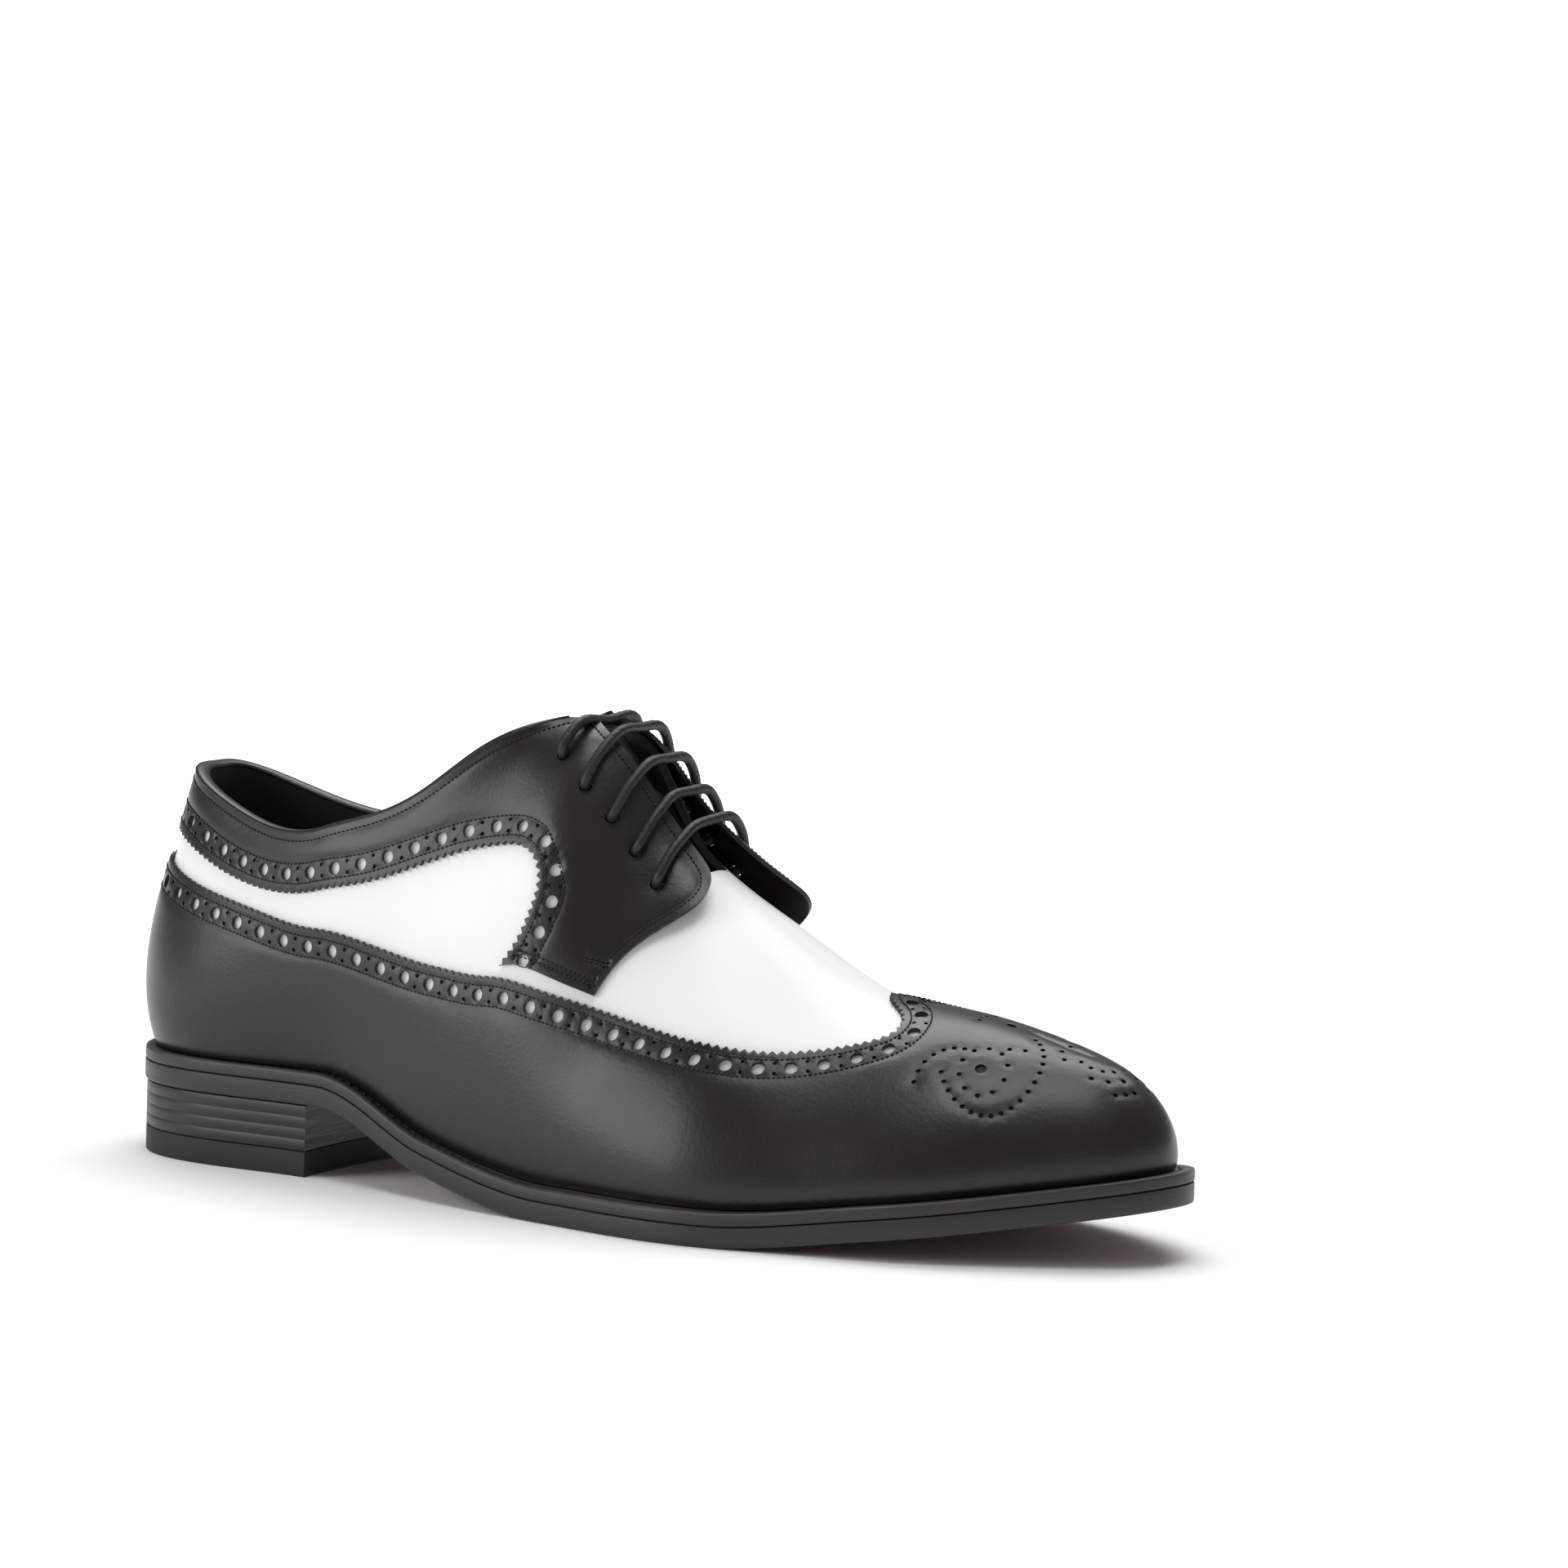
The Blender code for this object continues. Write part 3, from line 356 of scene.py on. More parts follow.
@dataclass
class Last:
    """The last that the upper is drawn over, with the sole that it stands on.

    Args:
        sizes: see the fields, all in metres.
    """

    sole_length: float = 0.302
    ball_width: float = 0.108
    waist_width: float = 0.070
    heel_width: float = 0.066
    heel_height: float = 0.0187
    heel_length: float = 0.067
    toe_spring: float = 0.0145
    toe_swing: float = 0.0075
    outsole: float = 0.0052
    welt: float = 0.0034
    seat_gap: float = 0.0003
    seat_flat: float = 0.0025
    welt_margin: float = 0.0070
    back_height: float = 0.0725
    ankle_height: float = 0.0605
    instep_height: float = 0.1080
    ball_height: float = 0.0660
    toe_height: float = 0.0260
    collar_width: float = 0.0540
    side_bulge: float = 0.0070
    throat: float = 0.430
    # How far a facing's free front stands off the vamp, and how much farther the inner one reaches
    flap_lift: float = 0.0035
    inner_flap_lift: float = 0.0065
    inner_flap_reach: float = 0.030
    topline_fade: int = 10
    # Share of the rise below the ridge that is rounded
    ridge_round: float = 0.25
    # The shoulder bends towards the foot; nearer than this to overhead it is steered outwards
    steer_within: float = 0.0060
    steer_soft: float = 0.0030

    def __post_init__(self) -> None:
        widths = {"heel": self.heel_width, "waist": self.waist_width, "ball": self.ball_width}
        widths["swing"] = self.toe_swing
        heights = {"back": self.back_height, "ankle": self.ankle_height, "toe": self.toe_height}
        heights.update(instep=self.instep_height, ball=self.ball_height)
        x = np.array([row[1] * self.sole_length for row in OUTLINE])
        outer = np.array([-row[3] * widths[row[2]] for row in OUTLINE])
        inner = np.array([row[4] * widths[row[2]] for row in OUTLINE])
        steps = (np.hypot(np.diff(x), np.diff(-outer)) + np.hypot(np.diff(x), np.diff(inner))) / 2
        self.half_length = steps.sum()
        places = np.r_[0, np.cumsum(steps)] / steps.sum()
        self.outline_x, self.outline_y = loop_spline(places, x), loop_spline(places, outer, inner)
        heel_front = self.heel_length + self.seat_flat
        length, spring = self.sole_length, self.toe_spring
        self.bottom = steady(
            [0, heel_front, 0.36 * length, 0.50 * length, 0.66 * length, 0.80 * length, length],
            [self.heel_height, self.heel_height, 0.35 * self.heel_height, 0, 0, 0.33 * spring, spring],
        )
        keys = [row[1] for row in SECTIONS]
        rises = np.array([heights[row[6]] * row[7] for row in SECTIONS])
        self.margin = loop_spline(keys, [row[2] * self.welt_margin for row in SECTIONS])
        self.top_along = loop_spline(keys, [row[3] * self.sole_length for row in SECTIONS])
        self.top_rise = loop_spline(keys, rises)
        self.top_swing = steady(keys, [row[8] * self.toe_swing for row in SECTIONS])
        self.bulge = loop_spline(keys, [row[9] * self.side_bulge for row in SECTIONS])
        self.belly, self.shoulder, self.crown = (
            loop_spline(keys, rises * [row[k] for row in SECTIONS]) for k in (10, 11, 12))
        rear = [row for row in SECTIONS if row[1] <= self.throat]
        self.collar_half = spline([row[1] for row in rear], [row[4] * self.collar_width for row in rear])
        self.body_half = spline(keys, [row[5] * self.collar_width for row in SECTIONS])

    @property
    def seat(self) -> float:
        """The height of the upper's foot over the underside of the sole."""
        return self.outsole + self.welt + self.seat_gap

    def outward(self, place: np.ndarray) -> tuple[np.ndarray, np.ndarray]:
        """Return the outline's outward direction in plan."""
        dx = self.outline_x(place + STEP) - self.outline_x(place - STEP)
        dy = self.outline_y(place + STEP) - self.outline_y(place - STEP)
        length = np.hypot(dx, dy)
        return dy / length, -dx / length

    def inset(self, place: np.ndarray, depth: np.ndarray) -> tuple[np.ndarray, np.ndarray]:
        """Return the plan point at a depth inside the sole's outline, measured from its heel back."""
        nx, ny = self.outward(place)
        return self.outline_x(place) - nx * depth, self.outline_y(place) - ny * depth

    def ring(self, places: np.ndarray, depth: np.ndarray, level: float) -> np.ndarray:
        """Return points round the sole at a depth inside its outline and a level over its underside."""
        x, y = self.inset(places, depth)
        return np.stack([x - self.heel_length / 2, y, self.bottom(x) + level], axis=1)

    def surface(self, flat: Curve) -> np.ndarray:
        """Return points of the last's surface."""
        place, rise = np.asarray(flat, float).T
        near, inner = half_place(place)
        side = np.where(inner, 1.0, -1.0)
        nx, ny = self.outward(place)
        foot_x, foot_y = self.inset(place, self.margin(place))
        foot_z = self.bottom(foot_x) + self.seat
        half = np.where(near < self.throat, self.collar_half(np.minimum(near, self.throat)), 0)
        body = np.maximum(self.body_half(near), 0)
        top_x, top_y = self.top_along(place), side * body + self.top_swing(near)
        shared = ease((near - 0.50) / 0.06)
        other_z = self.bottom(self.inset(2 - place, self.margin(2 - place))[0]) + self.seat
        top_z = foot_z + shared * (other_z - foot_z) / 2 + self.top_rise(place)
        mx, my = foot_x - top_x, foot_y - top_y
        short = self.steer_within - mx * nx - my * ny
        steer = (short + np.hypot(short, self.steer_soft)) / 2
        mx, my = mx + nx * steer, my + ny * steer
        span = np.hypot(mx, my)
        bulge, shoulder = self.bulge(place), self.shoulder(place)
        foot = np.stack([foot_x, foot_y, foot_z])
        low = foot + np.stack([nx * bulge, ny * bulge, self.belly(place)])
        top = np.stack([top_x, top_y, top_z])
        high = top + np.stack([mx / span * shoulder, my / span * shoulder, -self.crown(place)])
        free = 1 - rise
        found = free**3 * foot + 3 * rise * free**2 * low + 3 * rise**2 * free * high + rise**3 * top
        found[1] += side * (half - body) * rise**self.topline_fade
        rounded = np.maximum(self.ridge_round - free, 0) ** 2 / (2 * self.ridge_round)
        found[2] -= 3 * self.crown(place) * rounded * shared
        found[0] -= self.heel_length / 2
        return found.T

    def normal(self, flat: Curve) -> np.ndarray:
        """Return the outward normals, level at the feather edge and even across the ridge."""
        flat = np.asarray(flat, float)
        place, rise = flat.T
        near, _ = half_place(place)

        def raw(at: np.ndarray) -> np.ndarray:
            here = np.stack([at, np.clip(rise, 2 * STEP, 1 - 2 * STEP)], axis=1)
            along = self.surface(here + [STEP, 0]) - self.surface(here - [STEP, 0])
            up = self.surface(here + [0, STEP]) - self.surface(here - [0, STEP])
            return unit(np.cross(along, up))

        across = np.where(near >= self.throat, 0.5 * ease((rise - 0.8) / 0.2), 0)[:, None]
        normal = (1 - across) * raw(place) + across * raw(2 - place)
        normal[:, 2] *= np.clip(rise / 0.2, 0, 1)
        return unit(normal)

    def lift(self, flat: Curve) -> np.ndarray:
        """Return how far the free front of a facing stands off the vamp."""
        place, rise = np.asarray(flat, float).T
        near, inner = half_place(place)
        height = np.where(inner, self.inner_flap_lift, self.flap_lift)
        return height * ease((near - 0.44) / 0.12) * ease((rise - 0.50) / 0.35)

    def point(self, flat: Curve, depth: float | np.ndarray = 0.0) -> np.ndarray:
        """Return points of the layer at a depth outside the last. Its foot stays on the welt."""
        flat = np.asarray(flat, float)
        surface = self.surface(flat)
        found = surface + self.normal(flat) * np.reshape(np.broadcast_to(depth, len(flat)), (-1, 1))
        shift = self.heel_length / 2
        seat = self.bottom(found[:, 0] + shift) - self.bottom(surface[:, 0] + shift)
        found[:, 2] += seat * (1 - flat[:, 1]) ** 6
        return found

    def move(self, flat: Curve, vectors: np.ndarray) -> Curve:
        """Return curve points moved over the surface by small vectors in space."""
        flat = np.asarray(flat, float)
        along = (self.surface(flat + [STEP, 0]) - self.surface(flat - [STEP, 0])) / (2 * STEP)
        up = (self.surface(flat + [0, STEP]) - self.surface(flat - [0, STEP])) / (2 * STEP)
        a, b, c = (along * along).sum(1), (along * up).sum(1), (up * up).sum(1)
        p, q = (along * vectors).sum(1), (up * vectors).sum(1)
        det = np.maximum(a * c - b * b, 1e-12)
        return flat + np.stack([(c * p - b * q) / det, (a * q - b * p) / det], axis=1)

    def beside(self, flat: Curve, distance: float | np.ndarray, steps: int = 4) -> Curve:
        """Return a curve's points moved sideways over the surface, to its left when positive.

        Args:
            flat: the curve.
            distance: one distance, or one a point.
            steps: short moves that make up the whole one.
        """
        flat = np.array(flat, float)
        side = np.cross(self.normal(flat), unit(np.gradient(self.surface(flat), axis=0)))
        share = np.reshape(np.broadcast_to(distance, len(flat)), (-1, 1)) / steps
        for _ in range(steps):
            flat = self.move(flat, unit(side) * share)
        return flat

    def parallel(self, flat: Curve, distance: float, to_ridge: bool = False) -> Curve:
        """Return the curve at a distance beside a curve, without the loops of tight bends.

        Args:
            flat: the curve.
            distance: to the left when positive.
            to_ridge: whether its end is drawn on to the ridge.
        """
        moved = self.beside(flat, distance)
        base, here = self.surface(flat), self.surface(moved)
        gaps = np.array([np.linalg.norm(base - point, axis=1).min() for point in here])
        good = (gaps > abs(distance) - 0.2 * MM) & (moved[:, 1] < 0.999) & (moved[:, 1] >= 0)
        moved = moved[good]
        if to_ridge:
            step = moved[-1] - moved[-4]
            share = (1 - moved[-1, 1]) / max(step[1], 1e-3)
            moved = np.vstack([moved, [moved[-1, 0] + step[0] * min(share, 3), 1.0]])
        return self.even(moved, 0.6 * MM)

    def even(self, flat: Curve, gap: float, pairs: bool = False) -> Curve:
        """Return a curve with even gaps.

        Args:
            flat: the curve.
            gap: about how far apart its points are.
            pairs: whether the number of gaps is even.
        """
        run = run_length(self.surface(flat))
        count = max(int(round(run[-1] / gap)), 1)
        count += count % 2 if pairs else 0
        at = np.linspace(0, run[-1], count + 1)
        return np.stack([np.interp(at, run, flat[:, 0]), np.interp(at, run, flat[:, 1])], axis=1)

    def trace(self, rows: Sequence[tuple], gap: float = 0.5 * MM) -> Curve:
        """Return the smooth curve through a table's rows of name, place and rise."""
        knots = np.array([row[1:3] for row in rows], float)
        run = run_length(self.surface(knots))
        at = np.linspace(0, run[-1], int(run[-1] / gap) + 2)
        return np.stack([spline(run, knots[:, k])(at) for k in (0, 1)], axis=1)

    def gimped(self, flat: Curve, pitch: float, depth: float) -> Curve:
        """Return a curve cut into teeth whose tips stay on it and whose notches lie to its right."""
        teeth = self.even(flat, pitch / 2, pairs=True)
        notch = np.where(np.arange(len(teeth)) % 2, -depth, 0.0)
        return self.beside(teeth, notch, steps=1)

    def hole(self, centre: Sequence[float], diameter: float, sides: int) -> Curve:
        """Return a round hole's outline on the surface."""
        flat = np.repeat([centre], sides, axis=0)
        normal = self.normal(flat[:1])[0]
        first = unit(np.cross([[0.0, 0.0, 1.0]], [normal]))[0]
        second = np.cross(normal, first)
        turn = np.arange(sides) * WHOLE_TURN / sides
        reach = diameter / 2 * (np.cos(turn)[:, None] * first + np.sin(turn)[:, None] * second)
        return self.move(flat, reach)


def inside(outline: Curve, points: np.ndarray) -> np.ndarray:
    """Return which points lie inside a closed outline."""
    low, high = outline.min(0), outline.max(0)
    near = np.flatnonzero(((points >= low) & (points <= high)).all(1))
    x, y = points[near].T
    odd = np.zeros(len(near), bool)
    for (ax, ay), (bx, by) in zip(outline, np.roll(outline, -1, axis=0)):
        if ay != by:
            odd ^= ((ay > y) != (by > y)) & (x < ax + (y - ay) / (by - ay) * (bx - ax))
    found = np.zeros(len(points), bool)
    found[near[odd]] = True
    return found


def add(tree: bpy.types.NodeTree, kind: str, inputs: dict | None = None, **settings) -> bpy.types.Node:
    """Add a node to a tree.

    Args:
        tree: the material's or the geometry's tree.
        kind: the node's type.
        inputs: a value or a socket to link, by the input's name or number.
        settings: the node's own settings.

    Returns:
        The node.
    """
    new = tree.nodes.new(kind)
    for name, value in settings.items():
        setattr(new, name, value)
    for name, value in (inputs or {}).items():
        if isinstance(value, bpy.types.NodeSocket):
            tree.links.new(value, new.inputs[name])
        else:
            new.inputs[name].default_value = value
    return new


@dataclass(frozen=True)
class Finish:
    """A finish with a grain, a slow change of tone, and a gloss.

    Args:
        name: the real material and how it was made.
        tone: its main colour, sRGB hex.
        second: the colour it drifts to.
        roughness: the least and the most roughness.
        grain: the size of its grain in metres.
        relief: the height of its grain in metres.
        drift: the size of its tone's patches in metres.
        coat: the weight of the wax or polish on it.
        coat_roughness: the roughness of that wax or polish.
        specular: the strength of its reflection, 0.5 for IOR 1.5.
        sheen: the weight of its fuzz.
    """

    name: str
    tone: str
    second: str
    roughness: tuple[float, float]
    grain: float
    relief: float
    drift: float = 0.03
    coat: float = 0.0
    coat_roughness: float = 0.25
    specular: float = 0.5
    sheen: float = 0.0

    def start(self) -> tuple[bpy.types.Material, bpy.types.NodeTree, bpy.types.Node]:
        """Return the new material, its tree and its shader, with the even values set."""
        made = bpy.data.materials.new(self.name)
        made.use_nodes = True
        tree = made.node_tree
        tree.nodes.clear()
        shader = add(tree, "ShaderNodeBsdfPrincipled", {
            "IOR": 1.5, "Specular IOR Level": self.specular, "Coat Weight": self.coat,
            "Coat Roughness": self.coat_roughness, "Sheen Weight": self.sheen, "Sheen Roughness": 0.5})
        add(tree, "ShaderNodeOutputMaterial", {"Surface": shader.outputs[0]})
        return made, tree, shader

    def material(self) -> bpy.types.Material:
        """Return the material: cell grain for the bump, slow noise for tone and gloss."""
        made, tree, shader = self.start()
        place = add(tree, "ShaderNodeTexCoord").outputs["Object"]
        cells = add(tree, "ShaderNodeTexVoronoi", {"Vector": place, "Scale": 1 / self.grain},
                    feature="SMOOTH_F1")
        fine = add(tree, "ShaderNodeTexNoise", {"Vector": place, "Scale": 0.6 / self.grain, "Detail": 3.0})
        slow = add(tree, "ShaderNodeTexNoise", {"Vector": place, "Scale": 1 / self.drift, "Detail": 4.0})
        height = add(tree, "ShaderNodeMath", {0: cells.outputs["Distance"], 1: fine.outputs["Fac"]},
                     operation="ADD")
        bump = add(tree, "ShaderNodeBump", {"Height": height.outputs[0], "Distance": self.relief,
                                            "Strength": 0.6})
        tone = add(tree, "ShaderNodeMix", {"Factor": slow.outputs["Fac"], 6: linear(self.tone),
                                           7: linear(self.second)}, data_type="RGBA")
        gloss = add(tree, "ShaderNodeMapRange", {
            "Value": slow.outputs["Fac"], "From Min": 0.3, "From Max": 0.7,
            "To Min": self.roughness[0], "To Max": self.roughness[1]})
        tree.links.new(tone.outputs[2], shader.inputs["Base Color"])
        tree.links.new(gloss.outputs[0], shader.inputs["Roughness"])
        tree.links.new(bump.outputs[0], shader.inputs["Normal"])
        return made


@dataclass(frozen=True)
class EdgeFinish(Finish):
    """A trimmed leather edge: fibres that run along it, and layers. Reads the piece's UV map.

    Args:
        streak: length and height of a streak in metres.
        wear: colour of the rubbed places.
    """

    streak: tuple[float, float] = (0.02, 0.0005)
    wear: str = "#5a5654"

    def material(self) -> bpy.types.Material:
        """Return the material: streaks along the edge for bump, tone and gloss."""
        made, tree, shader = self.start()
        place = add(tree, "ShaderNodeUVMap", uv_map="edge").outputs[0]
        scale = (1 / self.streak[0], 1 / self.streak[1], 1)
        laid = add(tree, "ShaderNodeMapping", {"Vector": place, "Scale": scale})
        streaks = add(tree, "ShaderNodeTexNoise", {"Vector": laid.outputs[0], "Scale": 1.0, "Detail": 5.0})
        worn = add(tree, "ShaderNodeAttribute", attribute_name="wear")
        bump = add(tree, "ShaderNodeBump", {"Height": streaks.outputs["Fac"], "Distance": self.relief,
                                            "Strength": 0.8})
        tone = add(tree, "ShaderNodeMix", {"Factor": streaks.outputs["Fac"], 6: linear(self.tone),
                                           7: linear(self.second)}, data_type="RGBA")
        rub = add(tree, "ShaderNodeMath", {0: worn.outputs["Fac"], 1: streaks.outputs["Fac"]},
                  operation="MULTIPLY")
        rubbed = add(tree, "ShaderNodeMix", {"Factor": rub.outputs[0], 6: tone.outputs[2],
                                             7: linear(self.wear)}, data_type="RGBA")
        gloss = add(tree, "ShaderNodeMapRange", {
            "Value": streaks.outputs["Fac"], "From Min": 0.3, "From Max": 0.7,
            "To Min": self.roughness[0], "To Max": self.roughness[1]})
        tree.links.new(rubbed.outputs[2], shader.inputs["Base Color"])
        tree.links.new(gloss.outputs[0], shader.inputs["Roughness"])
        tree.links.new(bump.outputs[0], shader.inputs["Normal"])
        return made


# Box calf, dyed through and waxed: a tight grain, a satin gloss that pools brown in the light
BLACK_CALF = Finish("box_calf_dyed_black_waxed", "#0f0c0c", "#1a1514", (0.31, 0.40), 0.8 * MM, 0.05 * MM,
                    coat=0.15, coat_roughness=0.25, specular=0.42)
# Corrected white calf: a thin pigment coat, nearly even
WHITE_CALF = Finish("corrected_calf_pigmented_white", "#f1f1ef", "#eaeae7", (0.40, 0.50), 0.9 * MM,
                    0.03 * MM, coat=0.08, specular=0.4)
# Unpolished lining leather: matt, a little fuzzy. Its colour also serves as painted shade: the dark discs
# in small holes and the shell's band under the facings
LINING = Finish("pig_lining_dyed_black_matt", "#1c1b1b", "#282625", (0.70, 0.85), 0.9 * MM, 0.10 * MM,
                specular=0.3, sheen=0.1)
# Oak-bark sole leather seen from below: brown, brushed
SOLE_GRAIN = Finish("oak_bark_sole_leather_sanded", "#4a2c22", "#5d3a2c", (0.55, 0.7), 1.2 * MM, 0.08 * MM)
# Nitrile rubber, moulded: dull
RUBBER = Finish("nitrile_rubber_moulded", "#1b1a1a", "#232222", (0.55, 0.68), 0.6 * MM, 0.04 * MM,
                specular=0.4)
# Polyester thread, bonded: a faint gloss
THREAD = Finish("polyester_thread_bonded_black", "#0b090a", "#121010", (0.45, 0.55), 0.3 * MM, 0.03 * MM)
# Round cotton cord, braided and waxed: catches the light on each strand
CORD = Finish("cotton_cord_braided_waxed", "#131212", "#1e1c1c", (0.42, 0.55), 0.35 * MM, 0.05 * MM,
              specular=0.45)
# Sole edge, inked black and burnished with wax: streaked along the fibres
SOLE_EDGE = EdgeFinish("sole_edge_inked_burnished", "#171515", "#262323", (0.38, 0.55), 1.0 * MM, 0.08 * MM,
                       coat=0.1, specular=0.45)


@dataclass
class Piece:
    """A finished mesh on its way into the scene.

    Args:
        name: the object's name.
        points: its vertices.
        faces: its faces, as lists of vertex numbers.
        materials: its materials, in slot order.
        which: the slot of each face, or None for the first.
        sharp: the angle in radians from which an edge is shaded sharp.
    """

    name: str
    points: np.ndarray
    faces: list
    materials: list
    which: np.ndarray | None = None
    sharp: float = 0.8

    def place(self, slot: str, *nodes: str) -> bpy.types.Object:
        """Put the piece on the shoe.

        Args:
            slot: the record's slot that its finish belongs to; not used.
            nodes: the CAD nodes that it stands for.

        Returns:
            The object.
        """
        mesh = bpy.data.meshes.new(self.name)
        mesh.from_pydata([tuple(p) for p in self.points], [], [tuple(f) for f in self.faces])
        for made in self.materials:
            mesh.materials.append(made)
        if self.which is not None:
            mesh.polygons.foreach_set("material_index", np.asarray(self.which, np.int32))
        mesh.shade_smooth()
        mesh.set_sharp_from_angle(angle=self.sharp)
        mesh.update()
        thing = bpy.data.objects.new(self.name, mesh)
        bpy.context.scene.collection.objects.link(thing)
        return settle(thing, slot, *nodes)


def settle(thing: bpy.types.Object, slot: str, *nodes: str) -> bpy.types.Object:
    """Let a piece ride on the shoe, hide the CAD nodes that it stands for, and report it."""
    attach(thing, "root")
    if nodes:
        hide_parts(*nodes)
    log.info("%s: %d faces", thing.name, len(thing.data.polygons))
    return thing


def edge_map(thing: bpy.types.Object, flat: np.ndarray, wear: np.ndarray) -> None:
    """Give a piece its edge UV map and its wear.

    Args:
        thing: the piece.
        flat: a U and V in metres for each vertex.
        wear: how rubbed each vertex is, 0 to 1.
    """
    mesh = thing.data
    corners = np.zeros(len(mesh.loops), np.int32)
    mesh.loops.foreach_get("vertex_index", corners)
    layer = mesh.uv_layers.new(name="edge")
    layer.data.foreach_set("uv", flat[corners].astype(np.float32).ravel())
    mesh.attributes.new("wear", "FLOAT", "POINT").data.foreach_set("value", wear.astype(np.float32))


@dataclass
class Panel:
    """A leather panel cut from the last's surface.

    Args:
        last: the last.
        name: the piece's name.
        outlines: closed curves; what lies inside an odd number of them is leather.
        under: depth of its flesh side outside the last.
        over: depth of its grain side.
        rows: sewn rows, which pull the grain side in.
        lifted: whether its front stands off the vamp.
        cell: the size of its mesh cells.
        roll: how far its edges are rounded down.
        dip: how deep a sewn row pulls it in.
        hug: returns a further shift in depth for each point, or None.
        height: about how high the last's side is, for the cells.
    """

    last: Last
    name: str
    outlines: list
    under: float
    over: float
    rows: list = field(default_factory=list)
    lifted: bool = False
    cell: float = 2.0 * MM
    roll: float = 0.2 * MM
    dip: float = 0.30 * MM
    hug: Callable | None = None
    height: float = 85 * MM

    def cut(self) -> tuple[Curve, np.ndarray]:
        """Return the flat points and the triangles of the panel."""
        last = self.last
        around = int(2 * last.half_length / self.cell / 2) * 2
        up = int(self.height / self.cell)
        places = np.linspace(0, 2, around + 1)[1:-1]
        rises = np.linspace(0, 1, up + 1)[1:-1]
        p, r = np.meshgrid(places, rises, indexing="ij")
        r[1::2, :-1] += 0.5 / up
        grid = np.stack([p.ravel(), r.ravel()], axis=1)
        within = np.zeros(len(grid), bool)
        for outline in self.outlines:
            within ^= inside(outline, grid)
        fixed = np.vstack(self.outlines)
        loose = [last.beside(row, shift) for row in self.rows for shift in (-0.7 * MM, 0.0, 0.7 * MM)]
        sewn = np.vstack(loose) if loose else np.zeros((0, 2))
        if len(sewn):
            good = np.zeros(len(sewn), bool)
            for outline in self.outlines:
                good ^= inside(outline, sewn)
            sewn = self.clear_of(sewn[good], fixed, 0.35 * MM)
        grid = self.clear_of(grid[within], np.vstack([fixed, sewn]), 0.45 * self.cell)
        points = np.vstack([fixed, sewn, grid])
        edges, start = [], 0
        for outline in self.outlines:
            count = len(outline)
            edges += [(start + k, start + (k + 1) % count) for k in range(count)]
            start += count
        scale = np.array([last.half_length, self.height]) * 10
        found, _, faces, origins, _, _ = delaunay_2d_cdt(
            [Vector(q) for q in points * scale], edges, [], 0, 1e-6)
        flat = np.array([(v.x, v.y) for v in found]) / scale
        faces = np.array([tuple(f) for f in faces])
        middle = flat[faces].mean(1)
        kept = np.zeros(len(faces), bool)
        for outline in self.outlines:
            kept ^= inside(outline, middle)
        faces = faces[kept]
        a, b, c = (flat[faces[:, k]] for k in range(3))
        turn = (b[:, 0] - a[:, 0]) * (c[:, 1] - a[:, 1]) - (c[:, 0] - a[:, 0]) * (b[:, 1] - a[:, 1])
        faces[turn < 0] = faces[turn < 0][:, ::-1]
        faces = faces[abs(turn) > 1e-12]
        return flat, faces

    def clear_of(self, points: Curve, others: Curve, gap: float) -> Curve:
        """Return the points that lie farther than a gap from all the others."""
        tree = KDTree(len(others))
        for number, place in enumerate(self.last.surface(others)):
            tree.insert(place, number)
        tree.balance()
        far = [tree.find(place)[2] > gap for place in self.last.surface(points)]
        return points[np.array(far, bool)]

    def build(self, skin: bpy.types.Material, rest: bpy.types.Material,
              paint: Callable | None = None) -> Piece:
        """Return the panel as a closed piece.

        Args:
            skin: the material of its grain side.
            rest: the material of its edges and its flesh side.
            paint: returns which grain-side points take the rest's material, or None; on the shell that is
                the lining's own colour at the collar and painted shade under the facings.

        Returns:
            The piece.
        """
        last = self.last
        flat, faces = self.cut()
        used, faces = np.unique(faces, return_inverse=True)
        faces = faces.reshape(-1, 3)
        flat = np.clip(flat[used], [0, 0], [2, 1])
        lift = last.lift(flat) if self.lifted else 0.0
        merged = self.weld(last.point(flat, self.over + lift))
        faces = merged[faces]
        faces = faces[(faces != np.roll(faces, 1, axis=1)).all(axis=1)]
        used, faces = np.unique(faces, return_inverse=True)
        faces = faces.reshape(-1, 3)
        flat = flat[used]
        count = len(flat)
        ways = np.vstack([faces[:, [0, 1]], faces[:, [1, 2]], faces[:, [2, 0]]])
        keys = ways[:, 0].astype(np.int64) * count + ways[:, 1]
        back = ways[:, 1].astype(np.int64) * count + ways[:, 0]
        rim = ways[~np.isin(keys, back)]
        depth = np.full(count, self.over)
        depth[np.unique(rim)] -= self.roll
        for row in self.rows:
            depth -= self.dip * np.exp(-(self.gaps(flat, row) / (0.8 * MM)) ** 2)
        if self.lifted:
            depth = depth + last.lift(flat)
        under = self.under + (last.lift(flat) if self.lifted else 0.0)
        if self.hug is not None:
            shift = self.hug(flat)
            depth, under = depth + shift, under + shift
        points = np.vstack([last.point(flat, depth), last.point(flat, under)])
        walls = np.stack([rim[:, 0] + count, rim[:, 1] + count, rim[:, 1], rim[:, 0]], axis=1)
        every = [*faces, *(faces[:, ::-1] + count), *walls]
        lining_and_shade_faces = paint(flat)[faces].any(1) if paint else np.zeros(len(faces), bool)
        which = np.r_[lining_and_shade_faces, np.ones(len(faces) + len(walls), bool)].astype(int)
        return Piece(self.name, points, every, [skin, rest], which)

